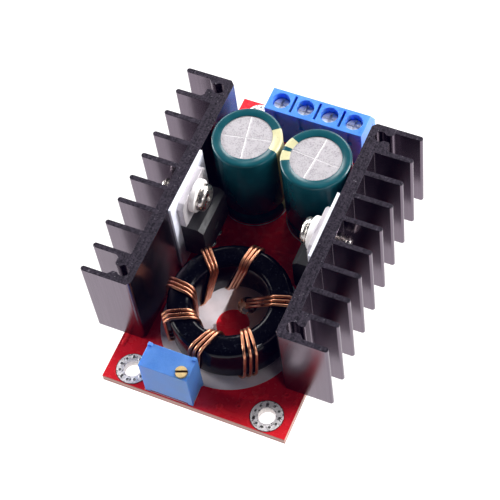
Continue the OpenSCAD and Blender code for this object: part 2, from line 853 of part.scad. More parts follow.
module inductor_strand(s) {
    route = strand_route(s);
    rings = len(route);
    sides_n = strand_sides;
    points = [for (i = [0:rings - 1]) each strand_ring(route, i)];
    walls = [for (i = [0:rings - 2]) for (j = [0:sides_n - 1]) let (m = (j + 1) % sides_n) each [
        [i * sides_n + j, (i + 1) * sides_n + j, (i + 1) * sides_n + m],
        [i * sides_n + j, (i + 1) * sides_n + m, i * sides_n + m]]];
    foot = [for (j = [0:sides_n - 1]) j];
    head = [for (j = [sides_n - 1:-1:0]) (rings - 1) * sides_n + j];
    translate([0, 0, deck_z]) polyhedron(points, concat([foot], walls, [head]));
}

module inductor_strand_1() {
    color("#c8773f") inductor_strand(-1);
}

module inductor_strand_2() {
    color("#c8773f") inductor_strand(0);
}

module inductor_strand_3() {
    color("#c8773f") inductor_strand(1);
}

// Housing with a sloped wire side, and one chamber, screw hole and wire entry for each pole
module terminal_housing() {
    color("royalblue") translate([0, 0, deck_z]) difference() {
        rotate([90, 0, 90]) linear_extrude(block_w, center = true) polygon([
            [block_y, 0],
            [board_back, 0],
            [board_back, block_sill_h],
            [block_y + block_top_d, block_h],
            [block_y, block_h]]);
        for (x = pole_places) translate([x, 0, 0]) pole_cuts();
        for (i = [1:pole_count - 1])
            translate([(i - pole_count / 2) * pole_pitch, block_y + divider_in, block_h - divider_h])
                translate([-divider_w / 2, 0, 0]) cube([divider_w, divider_d, divider_h + through]);
    }
}

module pole_cuts() {
    translate([-chamber_w / 2, block_y + rear_wall, -through])
        cube([chamber_w, chamber_d, chamber_h + through]);
    translate([0, pole_y, 0]) cylinder(d = pole_screw_d + 2 * turn_gap, h = block_h);
    translate([0, pole_y, chamber_h + ledge_t]) cylinder(d = driver_hole_d, h = block_h);
    translate([-entry_w / 2, block_y + rear_wall + chamber_d - through, entry_low])
        cube([entry_w, block_d, entry_h]);
    translate([-notch_w / 2, block_y - through, block_h - notch_down - notch_h])
        cube([notch_w, notch_t + through, notch_h]);
}

// Captive screw that turns on the housing's ledge and stands on the contact bar
module terminal_screw(i) {
    edge = 0.25;
    tip_z = bar_z + bar_gap / 2;
    color("gainsboro") translate([pole_places[i], pole_y, deck_z]) difference() {
        rotate_extrude() polygon([
            [0, tip_z],
            [pole_screw_d / 2, tip_z],
            [pole_screw_d / 2, head_z],
            [pole_head_d / 2, head_z],
            [pole_head_d / 2, head_z + pole_head_h - edge],
            [pole_head_d / 2 - edge, head_z + pole_head_h],
            [0, head_z + pole_head_h]]);
        translate([0, 0, head_z + pole_head_h - slot_t])
            cross(pole_head_d * slot_part, slot_w, slot_t + through);
    }
}

module terminal_screw_1() {
    terminal_screw(0);
}

module terminal_screw_2() {
    terminal_screw(1);
}

module terminal_screw_3() {
    terminal_screw(2);
}

module terminal_screw_4() {
    terminal_screw(3);
}

// Cage that hangs on its screw and lifts the wire against the contact bar
module terminal_cage(i) {
    window_w = cage_w - 2 * cage_side_t;
    window_h = cage_h - cage_top_t - cage_floor_t;
    color("darkgray") translate([pole_places[i], pole_y, deck_z + cage_low]) difference() {
        translate([-cage_w / 2, -cage_d / 2, 0]) cube([cage_w, cage_d, cage_h]);
        translate([-window_w / 2, -cage_d, cage_floor_t]) cube([window_w, 2 * cage_d, window_h]);
        translate([0, 0, cage_h - cage_top_t - through])
            cylinder(d = pole_screw_d + 2 * turn_gap, h = cage_top_t + 2 * through);
    }
}

module terminal_cage_1() {
    terminal_cage(0);
}

module terminal_cage_2() {
    terminal_cage(1);
}

module terminal_cage_3() {
    terminal_cage(2);
}

module terminal_cage_4() {
    terminal_cage(3);
}

// Contact bars that reach through the cages, each with its solder pin behind the cage
module terminal_pins() {
    bar_y = pin_y - pin_t / 2;
    color("silver") for (x = pole_places) translate([x, 0, deck_z]) {
        translate([-bar_w / 2, bar_y, bar_z - bar_t]) cube([bar_w, bar_end - bar_y, bar_t]);
        translate([-pin_w / 2, bar_y, stub_z]) cube([pin_w, pin_t, bar_z - stub_z]);
    }
}

// Housing on four feet, with two lugs on its rear top edge and a bore for the adjusting screw
module trimmer_housing() {
    low_x = trim_x - trim_w / 2;
    low_y = trim_y - trim_d / 2;
    lug_y = low_y + trim_d - trim_lug_d;
    foot_x = trim_w / 2 - trim_foot_w / 2;
    foot_y = trim_d / 2 - trim_wall / 2;
    color("#3f86e0") translate([0, 0, deck_z]) {
        difference() {
            translate([low_x, low_y, trim_foot]) cube([trim_w, trim_d, trim_h - trim_foot]);
            translate([low_x + trim_wall, low_y + trim_wall, 0])
                cube([trim_w - 2 * trim_wall, trim_d - 2 * trim_wall, trim_foot + trim_base_t]);
            translate([trim_screw_x, trim_screw_y, trim_h - trim_screw_l])
                cylinder(d = trim_screw_d + 2 * turn_gap, h = trim_screw_l + through);
        }
        for (s = sides) for (e = ends)
            translate([trim_x + s * foot_x - trim_foot_w / 2, trim_y + e * foot_y - trim_wall / 2, 0])
                cube([trim_foot_w, trim_wall, trim_foot]);
        for (x = [low_x, low_x + trim_w - trim_lug_w])
            translate([x, lug_y, trim_h]) cube([trim_lug_w, trim_lug_d, trim_lug_h]);
    }
}

// Slotted adjusting screw
module trimmer_screw() {
    low = trim_h - trim_screw_l + fit_gap;
    high = trim_h + trim_screw_up;
    color("goldenrod") translate([trim_screw_x, trim_screw_y, deck_z]) difference() {
        translate([0, 0, low]) cylinder(d = trim_screw_d, h = high - low);
        translate([0, 0, high - slot_t]) rotate([0, 0, slot_turn])
            translate([-trim_screw_d, -slot_w / 2, 0]) cube([2 * trim_screw_d, slot_w, slot_t + through]);
    }
}

// Sealed plate in the foot of the trimmer, which holds its pins
module trimmer_base() {
    w = trim_w - 2 * trim_wall - 2 * press_gap;
    d = trim_d - 2 * trim_wall - 2 * press_gap;
    color("steelblue") translate([trim_x, trim_y, deck_z + trim_foot]) difference() {
        translate([-w / 2, -d / 2, 0]) cube([w, d, trim_base_t - press_gap]);
        for (i = [-1:1]) translate([i * trim_pin_pitch, 0, -through])
            cylinder(d = trim_pin_d + 2 * press_gap, h = trim_base_t + 2 * through);
    }
}

module trimmer_pins() {
    color("silver") at(trim_pin_places, deck_z + stub_z)
        cylinder(d = trim_pin_d, h = trim_foot + trim_base_t - press_gap - stub_z);
}

// Moulded chip under the board, with a bevel along its long edges
module controller_chip() {
    bevel = 0.25;
    top = floor_z - chip_gap;
    color("#1c1c1e") translate([chip_x, chip_y, 0]) rotate([90, 0, 90])
        linear_extrude(chip_l, center = true) polygon([
            [-chip_w / 2 + bevel, top],
            [-chip_w / 2, top - chip_h / 2],
            [-chip_w / 2 + bevel, top - chip_h],
            [chip_w / 2 - bevel, top - chip_h],
            [chip_w / 2, top - chip_h / 2],
            [chip_w / 2 - bevel, top]]);
}

// Bent leads along both sides of the chip
module controller_leads() {
    knee = 0.35;
    t = chip_lead_t;
    mid = floor_z - chip_gap - chip_h / 2 + t / 2;
    far = chip_w / 2 + chip_lead_out;
    color("silver") translate([chip_x, chip_y, 0]) for (e = ends) for (i = [0:chip_lead_rows - 1])
        translate([(i - (chip_lead_rows - 1) / 2) * chip_lead_pitch, 0, 0]) rotate([90, 0, e * 90])
            linear_extrude(chip_lead_w, center = true) polygon([
                [chip_w / 2, mid],
                [chip_w / 2 + knee, mid],
                [chip_w / 2 + knee, floor_z],
                [far, floor_z],
                [far, floor_z - t],
                [chip_w / 2 + knee + t, floor_z - t],
                [chip_w / 2 + knee + t, mid - t],
                [chip_w / 2, mid - t]]);
}

// Blocks soldered flat under the board, at places from a point
module underside_blocks(places, size, x, y) {
    for (p = places) translate([x + p[0], y + p[1], floor_z - size[2]]) rotate([0, 0, p[2]])
        translate([-size[0] / 2, -size[1] / 2, 0]) cube(size);
}

module sense_resistors() {
    color("#222226") underside_blocks(sense_by_core, sense_size, core_x, core_y);
}

module chip_resistors() {
    color("#26262a") {
        underside_blocks(resistors_by_chip, resistor_size, 0, device_y);
        underside_blocks(resistors_by_trimmer, resistor_size, 0, board_front);
    }
}

module chip_capacitors() {
    color("tan") underside_blocks(capacitors_by_chip, capacitor_size, 0, device_y);
}

// Solder cone round a lead of a given outline size
module solder_cone(d) {
    translate([0, 0, floor_z - joint_h])
        cylinder(d1 = d + joint_lip / 2, d2 = d + 2 * joint_lip, h = joint_h);
}

// Round lead's joint
module round_joint(d) {
    difference() {
        solder_cone(d);
        cylinder(d = d + 2 * press_gap, h = floor_z + through);
    }
}

// Flat lead's joint, for a lead of w by t
module flat_joint(w, t) {
    difference() {
        solder_cone(norm([w, t]));
        translate([-w / 2 - press_gap, -t / 2 - press_gap, 0])
            cube([w + 2 * press_gap, t + 2 * press_gap, floor_z + through]);
    }
}

module solder_joints() {
    color("lightgray") {
        at(cap_lead_places) round_joint(cap_lead_d);
        at(trim_pin_places) round_joint(trim_pin_d);
        at(pin_places) flat_joint(pin_w, pin_t);
        at(device_lead_places) flat_joint(lead_t, lead_w);
        at([inner_lead, outer_lead], floor_z - dome_h) rotate_extrude()
            polygon([for (p = dome_shape) [p[0] * dome_d / 2, p[1] * dome_h]]);
    }
}

circuit_board();
mounting_hole_plating();
left_heatsink();
right_heatsink();
heatsink_screws();
left_insulator_pad();
right_insulator_pad();
transistor_case();
rectifier_case();
transistor_tab();
rectifier_tab();
transistor_leads();
rectifier_leads();
left_bush();
right_bush();
left_lock_washer();
right_lock_washer();
left_clamp_screw();
right_clamp_screw();
left_capacitor_can();
right_capacitor_can();
left_capacitor_sleeve();
right_capacitor_sleeve();
left_capacitor_seal();
right_capacitor_seal();
left_capacitor_leads();
right_capacitor_leads();
inductor_core();
inductor_strand_1();
inductor_strand_2();
inductor_strand_3();
terminal_housing();
terminal_screw_1();
terminal_screw_2();
terminal_screw_3();
terminal_screw_4();
terminal_cage_1();
terminal_cage_2();
terminal_cage_3();
terminal_cage_4();
terminal_pins();
trimmer_housing();
trimmer_screw();
trimmer_base();
trimmer_pins();
controller_chip();
controller_leads();
sense_resistors();
chip_resistors();
chip_capacitors();
solder_joints();
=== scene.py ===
import math

import bpy
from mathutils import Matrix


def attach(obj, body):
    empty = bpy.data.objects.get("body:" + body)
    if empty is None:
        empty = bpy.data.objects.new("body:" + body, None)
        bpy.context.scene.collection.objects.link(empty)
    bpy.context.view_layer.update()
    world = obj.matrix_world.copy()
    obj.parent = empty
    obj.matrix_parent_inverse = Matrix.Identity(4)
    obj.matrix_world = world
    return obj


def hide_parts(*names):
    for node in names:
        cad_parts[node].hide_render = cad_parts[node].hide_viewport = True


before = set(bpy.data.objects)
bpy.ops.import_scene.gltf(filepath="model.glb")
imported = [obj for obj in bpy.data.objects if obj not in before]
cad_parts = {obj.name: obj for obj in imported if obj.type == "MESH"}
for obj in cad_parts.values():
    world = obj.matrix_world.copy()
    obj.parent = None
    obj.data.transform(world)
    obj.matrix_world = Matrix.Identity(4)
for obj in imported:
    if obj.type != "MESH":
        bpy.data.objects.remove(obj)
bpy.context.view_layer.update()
mm = 0.001
deck = 3.5  # board's top face above the floor, in millimetres
under = 1.9  # board's underside
weld = 0.001 * mm  # points nearer than this are merged
print("frame:", len(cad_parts), "nodes")


# picking and shaping

def release():
    if bpy.context.object and bpy.context.object.mode == "EDIT":
        bpy.ops.object.mode_set(mode="OBJECT")
    bpy.ops.object.select_all(action="DESELECT")


def hold(*pieces):
    release()
    for piece in pieces:
        piece.select_set(True)
    bpy.context.view_layer.objects.active = pieces[0]


def link(piece):
    bpy.context.scene.collection.objects.link(piece)


def discard(*pieces):
    for piece in pieces:
        bpy.data.objects.remove(piece, do_unlink=True)


def editMesh(piece, mode="VERT"):
    hold(piece)
    bpy.ops.object.mode_set(mode="EDIT")
    bpy.ops.mesh.select_mode(type=mode)
    bpy.ops.mesh.select_all(action="SELECT")


def pickFaces(piece, wanted):
    editMesh(piece, "FACE")
    bpy.ops.mesh.select_all(action="DESELECT")
    bpy.ops.object.mode_set(mode="OBJECT")
    for face in piece.data.polygons:
        face.select = wanted(face)
    bpy.ops.object.mode_set(mode="EDIT")


def shape(piece, kind, **settings):
    hold(piece)
    modifier = piece.modifiers.new(kind.title(), kind)
    for key, value in settings.items():
        setattr(modifier, key, value)
    bpy.ops.object.modifier_apply(modifier=modifier.name)


def smooth(piece, angle):
    hold(piece)
    bpy.ops.object.shade_smooth_by_angle(angle=math.radians(angle))


# rounds the sharp edges; edgeSlot gives the rounded faces a finish of their own
def soften(piece, width, rounds=2, sharp=32, edgeSlot=-1):
    shape(piece, "BEVEL", width=width * mm, segments=rounds, limit_method="ANGLE",
          angle_limit=math.radians(sharp), material=edgeSlot)
    smooth(piece, 46)
    shape(piece, "WEIGHTED_NORMAL", keep_sharp=True)


def copyPiece(piece, name):
    twin = piece.copy()
    twin.data = piece.data.copy()
    twin.name = twin.data.name = name
    link(twin)
    return twin


# a copy of a CAD solid, merged and cleared for shaping
def copyNode(node, name):
    piece = copyPiece(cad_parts[node], name)
    piece.parent = None
    piece.hide_render = piece.hide_viewport = False
    for key in list(piece.keys()):
        del piece[key]
    piece.data.materials.clear()
    hold(piece)
    bpy.ops.mesh.customdata_custom_splitnormals_clear()
    editMesh(piece)
    bpy.ops.mesh.remove_doubles(threshold=weld)
    bpy.ops.mesh.dissolve_limited(angle_limit=math.radians(1))
    release()
    return piece


def setDown(piece, at=(0, 0, 0), turn=(0, 0, 0), size=(1, 1, 1)):
    hold(piece)
    piece.location = [v * mm for v in at]
    piece.rotation_euler = [math.radians(v) for v in turn]
    piece.scale = size
    bpy.ops.object.transform_apply(location=True, rotation=True, scale=True)
    return piece


def joinPieces(main, *others, name=None):
    hold(main, *others)
    bpy.ops.object.join()
    release()
    if name:
        main.name = main.data.name = name
    return main


def startBlock(name, low, high):
    release()
    bpy.ops.mesh.primitive_cube_add(size=1)
    block = bpy.context.object
    block.name = block.data.name = name
    middle = [(a + b) / 2 for a, b in zip(low, high)]
    return setDown(block, middle, size=[(b - a) * mm for a, b in zip(low, high)])


# an outline of (radius, height) points, drawn from point to point and left in edit mode
def drawOutline(name, profile):
    release()
    bpy.ops.mesh.primitive_plane_add(size=mm)
    piece = bpy.context.object
    piece.name = piece.data.name = name
    editMesh(piece)
    bpy.ops.mesh.merge(type="CENTER")
    bpy.ops.transform.translate(value=(profile[0][0] * mm, 0, profile[0][1] * mm))
    for last, here in zip(profile, profile[1:]):
        step = ((here[0] - last[0]) * mm, 0, (here[1] - last[1]) * mm)
        bpy.ops.mesh.extrude_vertices_move(TRANSFORM_OT_translate={"value": step})
    bpy.ops.mesh.select_all(action="SELECT")
    return piece


# spins an outline about Z and smooths its edges up to an angle; a ring's outline ends where it starts
def turnPiece(name, profile, steps, at=(0, 0, 0), angle=0):
    piece = drawOutline(name, profile)
    bpy.ops.mesh.spin(steps=steps, angle=2 * math.pi, center=(0, 0, 0), axis=(0, 0, 1))
    bpy.ops.mesh.select_all(action="SELECT")
    bpy.ops.mesh.remove_doubles(threshold=2 * weld)
    bpy.ops.mesh.normals_make_consistent(inside=False)
    setDown(piece, at)
    if angle:
        smooth(piece, angle)
    return piece


# a round wire through points, made a mesh
def wirePiece(name, points, width, sides):
    release()
    curve = bpy.data.curves.new(name, "CURVE")
    curve.dimensions = "3D"
    curve.bevel_depth = width / 2 * mm
    curve.bevel_resolution = sides // 2 - 1
    curve.use_fill_caps = True
    spline = curve.splines.new("POLY")
    spline.points.add(len(points) - 1)
    for spot, point in zip(spline.points, points):
        spot.co = (*[v * mm for v in point], 1)
    piece = bpy.data.objects.new(name, curve)
    link(piece)
    hold(piece)
    bpy.ops.object.convert(target="MESH")
    editMesh(piece)
    bpy.ops.mesh.remove_doubles(threshold=weld)
    bpy.ops.mesh.normals_make_consistent(inside=False)
    smooth(piece, 50)
    return piece


# a flat line printed or laid on the board: a wire pressed flat against a face
def flatLine(name, points, width, height, z):
    piece = wirePiece(name, [(x, y, z) for x, y in points], width, 8)
    editMesh(piece)
    bpy.ops.transform.resize(value=(1, 1, 2 * height / width), center_override=(0, 0, z * mm))
    smooth(piece, 60)
    return piece


def cutWith(piece, tool):
    shape(piece, "BOOLEAN", operation="DIFFERENCE", object=tool, solver="EXACT")
    discard(tool)


# a cross of two grooves that narrow to their floor
def cutCross(piece, x, y, low, high, taper, angle):
    for turn in (0, 90):
        tool = startBlock("crossTool", (-x, -y, low), (x, y, high))
        pickFaces(tool, lambda face: face.normal.z < -0.5)
        bpy.ops.transform.resize(value=taper)
        cutWith(piece, setDown(tool, turn=(0, 0, turn + angle)))


def arcPoints(x, y, r, start, end, steps):
    angles = [math.radians(start + (end - start) * i / steps) for i in range(steps + 1)]
    return [(x + r * math.cos(a), y + r * math.sin(a)) for a in angles]


# section of a flat ring on a face; a negative height hangs it below
def ringSection(inner, outer, height):
    return [(inner, 0), (outer, 0), (outer, height), (inner, height), (inner, 0)]


def upright(face):
    return abs(face.normal.z) < 0.5


def dress(piece, *finishes):
    piece.data.materials.clear()
    for finish in finishes:
        piece.data.materials.append(finish)


def paintFaces(piece, slot, wanted):
    for face in piece.data.polygons:
        if wanted(face):
            face.material_index = slot


def fit(piece, slot, *nodes, body="module"):
    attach(piece, body)
    if nodes:
        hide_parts(*nodes)


def finishPiece(piece, finish, slot, *nodes, body="module"):
    dress(piece, finish)
    fit(piece, slot, *nodes, body=body)


# a CAD solid with rounded edges and one finish
def dressNode(node, name, edge, finish, slot, body="module", rounds=2, sharp=32):
    piece = copyNode(node, name)
    soften(piece, edge, rounds, sharp)
    finishPiece(piece, finish, slot, node, body=body)
    return piece


# finishes

grainLow, grainHigh = 0.3, 0.7  # most values of a grain lie between these


def newFinish(name, colour, rough, metal=0.0, **sockets):
    finish = bpy.data.materials.new(name)
    finish.use_nodes = True
    shader = finish.node_tree.nodes["Principled BSDF"]
    shader.inputs["Base Color"].default_value = (*colour, 1)
    shader.inputs["Roughness"].default_value = rough
    shader.inputs["Metallic"].default_value = metal
    finish.diffuse_color = (*colour, 1)
    for socket, value in sockets.items():
        shader.inputs[socket.replace("_", " ")].default_value = value
    return finish


def addNode(finish, kind, inputs, **values):
    node = finish.node_tree.nodes.new(kind)
    for key, value in values.items():
        setattr(node, key, value)
    for socket, value in inputs.items():
        wire(finish, value, node.inputs[socket])
    return node


def wire(finish, source, target):
    if isinstance(source, bpy.types.NodeSocket):
        finish.node_tree.links.new(source, target)
    elif isinstance(source, tuple) and len(source) == 3 and target.type == "RGBA":
        target.default_value = (*source, 1)
    else:
        target.default_value = source


def into(finish, source, socket):
    wire(finish, source, finish.node_tree.nodes["Principled BSDF"].inputs[socket])


def tint(finish, source):
    into(finish, source, "Base Color")


def place(finish, scale=(1, 1, 1), shift=(0, 0, 0), turn=(0, 0, 0)):
    coords = addNode(finish, "ShaderNodeTexCoord", {})
    mapping = addNode(finish, "ShaderNodeMapping", {
        "Vector": coords.outputs["Object"], "Scale": scale, "Location": [v * mm for v in shift],
        "Rotation": [math.radians(v) for v in turn]})
    return mapping.outputs["Vector"]


# size is the grain's size in millimetres; scale and turn draw it out along a direction
def grain(finish, size, detail=3, rough=0.55, twist=0.0, scale=(1, 1, 1), turn=(0, 0, 0)):
    node = addNode(finish, "ShaderNodeTexNoise", {
        "Vector": place(finish, scale, turn=turn), "Scale": 1 / (size * mm),
        "Detail": detail, "Roughness": rough, "Distortion": twist})
    return node.outputs["Fac"]


def stripes(finish, pitch, twist, axis):
    bandScale = 0.314  # of one band to the metre
    node = addNode(finish, "ShaderNodeTexWave", {
        "Vector": place(finish), "Scale": bandScale / (pitch * mm), "Distortion": twist, "Detail": 2.0},
        wave_type="BANDS", bands_direction=axis)
    return node.outputs["Fac"]


def ramp(finish, factor, *stops):
    node = addNode(finish, "ShaderNodeValToRGB", {"Fac": factor})
    elements = node.color_ramp.elements
    while len(elements) < len(stops):
        elements.new(0.5)
    for element, (spot, colour) in zip(elements, stops):
        element.position = spot
        element.color = (*colour, 1) if isinstance(colour, tuple) else (colour, colour, colour, 1)
    return node.outputs["Color"]


def mix(finish, factor, a, b, mode="MIX"):
    node = addNode(finish, "ShaderNodeMix", {}, data_type="RGBA", blend_type=mode)
    for value, socket in ((factor, 0), (a, 6), (b, 7)):  # the colour mix has its sockets at these places
        wire(finish, value, node.inputs[socket])
    return node.outputs[2]


def sums(finish, operation, *values):
    return addNode(finish, "ShaderNodeMath", dict(enumerate(values)), operation=operation).outputs[0]


def spread(finish, *values):
    return addNode(finish, "ShaderNodeMapRange", dict(enumerate(values))).outputs[0]


def split(finish, vector):
    return addNode(finish, "ShaderNodeSeparateXYZ", {0: vector}).outputs


# depth is the relief's height in millimetres
def relief(finish, height, depth, strength=1.0):
    node = addNode(finish, "ShaderNodeBump", {"Strength": strength, "Distance": depth * mm, "Height": height})
    into(finish, node.outputs["Normal"], "Normal")


# roughness that follows a grain
def gloss(finish, factor, low, high):
    into(finish, spread(finish, factor, grainLow, grainHigh, low, high), "Roughness")


# colour, gloss and relief that wander with two grains, for most finishes
def wander(finish, darker, lighter, coarse, fine, rough, depth, stretch=(1, 1, 1)):
    patches = grain(finish, coarse, 4, scale=stretch)
    dust = grain(finish, fine, scale=stretch)
    blend = sums(finish, "MULTIPLY_ADD", dust, 0.45, sums(finish, "MULTIPLY", patches, 0.55))
    tint(finish, ramp(finish, blend, (0.36, darker), (0.64, lighter)))
    gloss(finish, patches, *rough)
    relief(finish, dust, depth)
    return finish


# camera, floor and light

stage = {
    "cameraAt": (85.9, -142.645, 282.428), "cameraTurn": (0.538017, 0.089475, 0.406328), "lens": 123.894,
    "near": 10, "floorSize": 8000, "floorDrop": 0.05, "floorGrey": (0.1, 0.1, 0.1), "floorGlow": 1.14,
    "floorTint": (1.0, 0.985, 0.99), "sky": 0.042, "skyTint": (0.86, 0.8, 1.0), "violet": 0.003,
    # soft boxes: place, aim, watts, and width and height
    "boxes": {
        "keyBox": ((300, 280, 400), (0, 0, 8), 2.0, (240, 240)),
        "rightFrontBox": ((480, -240, 260), (0, 0, 8), 0.55, (200, 160)),
        "rightBackBox": ((450, 250, 220), (0, 0, 8), 3.2, (200, 160)),
        "backBox": ((0, 470, 300), (0, 0, 8), 1.8, (260, 160)),
        "backLeftBox": ((-320, 300, 330), (0, 0, 8), 1.1, (200, 160)),
        "leftBox": ((-430, -120, 215), (0, 0, 16), 1.1, (220, 120)),
        "leftLowBox": ((-460, 20, 90), (0, 0, 12), 2.6, (240, 120)),
    },
    # a narrow beam into the core's hole
    "beamAt": (335, -183, 416), "beamAim": (-3.8, -12.5, 3.5), "beamPower": 14.0, "beamSize": 3,
    "beamAngle": 0.85, "beamBlend": 0.12,
}


def makeStage():
    scene = bpy.context.scene
    scene.view_settings.view_transform = "Standard"
    scene.view_settings.use_curve_mapping = True
    scene.view_settings.curve_mapping.black_level = (0, 0, -stage["violet"])  # shadows lean to violet
    scene.view_settings.curve_mapping.update()
    camera = bpy.data.objects.new("camera", bpy.data.cameras.new("camera"))
    link(camera)
    camera.location = [v * mm for v in stage["cameraAt"]]
    camera.rotation_euler = stage["cameraTurn"]
    camera.data.lens = stage["lens"]
    camera.data.clip_start = stage["near"] * mm
    scene.camera = camera
    release()
    bpy.ops.mesh.primitive_plane_add(size=stage["floorSize"] * mm, location=(0, 0, -stage["floorDrop"] * mm))
    floor = bpy.context.object
    floor.name = "studioFloor"
    paper = newFinish("paleFloor", stage["floorGrey"], 0.9, Emission_Strength=stage["floorGlow"])
    into(paper, stage["floorTint"], "Emission Color")
    dress(floor, paper)
    world = bpy.data.worlds.new("studioSky")
    scene.world = world
    world.use_nodes = True
    sky = world.node_tree.nodes["Background"]
    sky.inputs["Color"].default_value = (*stage["skyTint"], 1)
    sky.inputs["Strength"].default_value = stage["sky"]


def addLamp(name, kind, at, aim, power):
    lamp = bpy.data.objects.new(name, bpy.data.lights.new(name, kind))
    lamp.data.energy = power
    link(lamp)
    lamp.location = [v * mm for v in at]
    away = lamp.location.copy()
    for i in range(3):
        away[i] -= aim[i] * mm
    lamp.rotation_euler = away.to_track_quat("Z", "Y").to_euler()
    return lamp.data


def makeLights():
    for name, (at, aim, power, size) in stage["boxes"].items():
        box = addLamp(name, "AREA", at, aim, power)
        box.shape = "RECTANGLE"
        box.size, box.size_y = (v * mm for v in size)
    beam = addLamp("holeBeam", "SPOT", stage["beamAt"], stage["beamAim"], stage["beamPower"])
    beam.shadow_soft_size = stage["beamSize"] * mm
    beam.spot_size = math.radians(stage["beamAngle"])
    beam.spot_blend = stage["beamBlend"]


makeStage()
makeLights()
print("stage ready")


# circuit board: red mask, laminate edge, white print, tracks

boardLook = {
    "redDeep": (0.62, 0.009, 0.021), "redLight": (0.78, 0.019, 0.027),
    "trackDeep": (0.68, 0.012, 0.024), "trackLight": (0.86, 0.026, 0.032), "trackW": 0.9, "trackT": 0.06,
    "print": (0.72, 0.66, 0.70), "printThin": (0.62, 0.42, 0.44), "printW": 0.14, "printT": 0.02,
    "discAt": (0.2, -14.8), "discR": 13.5, "openR": 3.1,
    "leadPads": [(1.188, -10.254), (1.126, -2.646)], "leadPadR": 1.85,
    "capRings": [(-6.85, 12.6), (6.85, 12.6)], "capRingR": (6.66, 6.82),
    "printLines": [
        [(-9.75, -27.6), (-0.2, -27.6), (0.1, -32.7), (-9.6, -32.7)],
        [(-10.4, 32.8), (-10.4, 25.6), (10.4, 25.6), (10.4, 32.8)],
        [(-13.5, 25.3), (-11.2, 25.3)], [(-12.35, 24.2), (-12.35, 26.4)], [(11.2, 25.3), (13.5, 25.3)],
    ],
    "tracks": [
        [(7.81, -29.66), (8.29, -28.4), (8.9, -27.5), (11.6, -26.2)],
        [(4.58, -31.03), (6.0, -31.6), (9.4, -31.6)], [(-9.2, 3.4), (-9.2, -0.6)],
        [(-6.2, 4.0), (-5.0, 4.4), (-1.1, 5.0), (1.4, 6.9)],
        [(0.8, 2.0), (5.8, 2.6), (8.1, 0.4)], [(-17.2, -26.0), (-17.2, 26.0)], [(17.2, -26.2), (17.2, 26.0)],
        [(-12.2, 22.4), (-11.6, 25.0), (-10.8, 29.0)], [(12.2, 22.4), (11.8, 27.0), (11.2, 30.6)],
    ],
    "underTracks": [
        [(-4.0, -19.0), (-9.0, -21.0), (-9.0, -28.0)], [(2.0, 2.4), (-0.8, 2.4)], [(2.0, 4.4), (-0.8, 4.4)],
        [(5.2, 6.6), (8.2, 9.6), (8.2, 12.6)], [(-5.4, 7.6), (-5.4, 12.6)], [(-6.9, -24.6), (-6.9, -29.5)],
        [(5.0, -6.0), (9.0, -6.0), (10.4, -2.54)], [(-2.6, -6.0), (-8.2, -6.0), (-10.4, -2.54)],
        [(3.0, -27.0), (9.4, -24.0), (9.4, -12.0)],
    ],
    "vias": [
        (7.81, -29.66), (4.58, -31.03), (15.12, -24.6), (11.6, -26.2),
        (-9.2, 3.4), (5.8, 2.6), (-12.2, 22.4), (12.2, 22.4),
    ],
    # mask drawn over a via
    "tent": [(0, -0.03), (0.18, -0.02), (0.28, 0.08), (0.5, 0.1), (0.7, 0.0), (0, -0.06)],
    "laminate": (0.62, 0.43, 0.35),
    # colours up the cut edge
    "layers": [
        (0.0, (0.34, 0.02, 0.02)), (0.06, (0.44, 0.20, 0.16)), (0.42, (0.52, 0.27, 0.21)),
        (0.56, (0.70, 0.48, 0.41)), (0.68, (0.50, 0.25, 0.20)), (0.93, (0.44, 0.17, 0.14)),
        (0.97, (0.38, 0.02, 0.02)),
    ],
}
cornerLook = {
    "places": [(s * 13.4, e * 29.8) for s in (-1, 1) for e in (-1, 1)], "edge": 0.03, "barrel": 0.7,
    # the near-black ring from outR, gap wide, is a painted shadow round each pad
    "outR": 3.0, "gap": 0.15, "shadowRingT": 0.012, "vias": 11, "viaRing": 2.32, "viaTurn": 9, "viaR": 0.5,
    # shares of viaR, and heights
    "viaShadeShare": 0.45, "viaMouth": [(0, 0.1), (0.4, 0.1), (0.5, 0.15), (0.75, 0.165), (1, 0.1), (0, 0.08)],
    # from hollows darkened to near-black, painted shade and reflection, to bright flats
    "pad": (0.9, 0.86, 0.87), "tin": [
        (0.35, (0.07, 0.06, 0.07)), (0.40, (0.46, 0.42, 0.43)), (0.45, (0.93, 0.88, 0.89)),
        (0.8, (0.98, 0.94, 0.95))],
}


def maskFinish(name, deep, light):
    finish = newFinish(name, light, 0.24, Specular_IOR_Level=0.4)
    clouds = grain(finish, 6.0, 3)
    dust = grain(finish, 0.18, 2)
    tint(finish, ramp(finish, clouds, (0.32, deep), (0.68, light)))
    gloss(finish, grain(finish, 1.6, 4), 0.17, 0.34)
    weave = sums(finish, "ADD", *[stripes(finish, 0.5, 0.6, axis) for axis in "XY"])
    relief(finish, sums(finish, "MULTIPLY_ADD", weave, 0.35, dust), 0.004, 0.5)
    return finish


def laminateFinish():
    finish = newFinish("glassLaminate", boardLook["laminate"], 0.55)
    height = spread(finish, split(finish, place(finish))[2], under * mm, deck * mm)
    layers = ramp(finish, height, *boardLook["layers"])
    fibres = grain(finish, 0.22, scale=(0.2, 0.2, 3))
    shade = ramp(finish, fibres, (0.3, 0.72), (0.7, 1.0))
    tint(finish, mix(finish, 1.0, layers, shade, "MULTIPLY"))
    gloss(finish, fibres, 0.42, 0.7)
    relief(finish, fibres, 0.02)
    return finish


def printFinish():
    finish = newFinish("whitePrint", boardLook["print"], 0.6)
    cover = grain(finish, 0.22, 3, 0.7)
    thin = ramp(finish, cover, (0.24, boardLook["printThin"]), (0.36, boardLook["print"]))
    stain = ramp(finish, grain(finish, 3.5, 4), (0.3, 0.84), (0.62, 1.0))
    tint(finish, mix(finish, 1.0, thin, stain, "MULTIPLY"))
    gloss(finish, grain(finish, 1.0, 3), 0.5, 0.75)
    relief(finish, grain(finish, 0.12, 2), 0.006)
    return finish


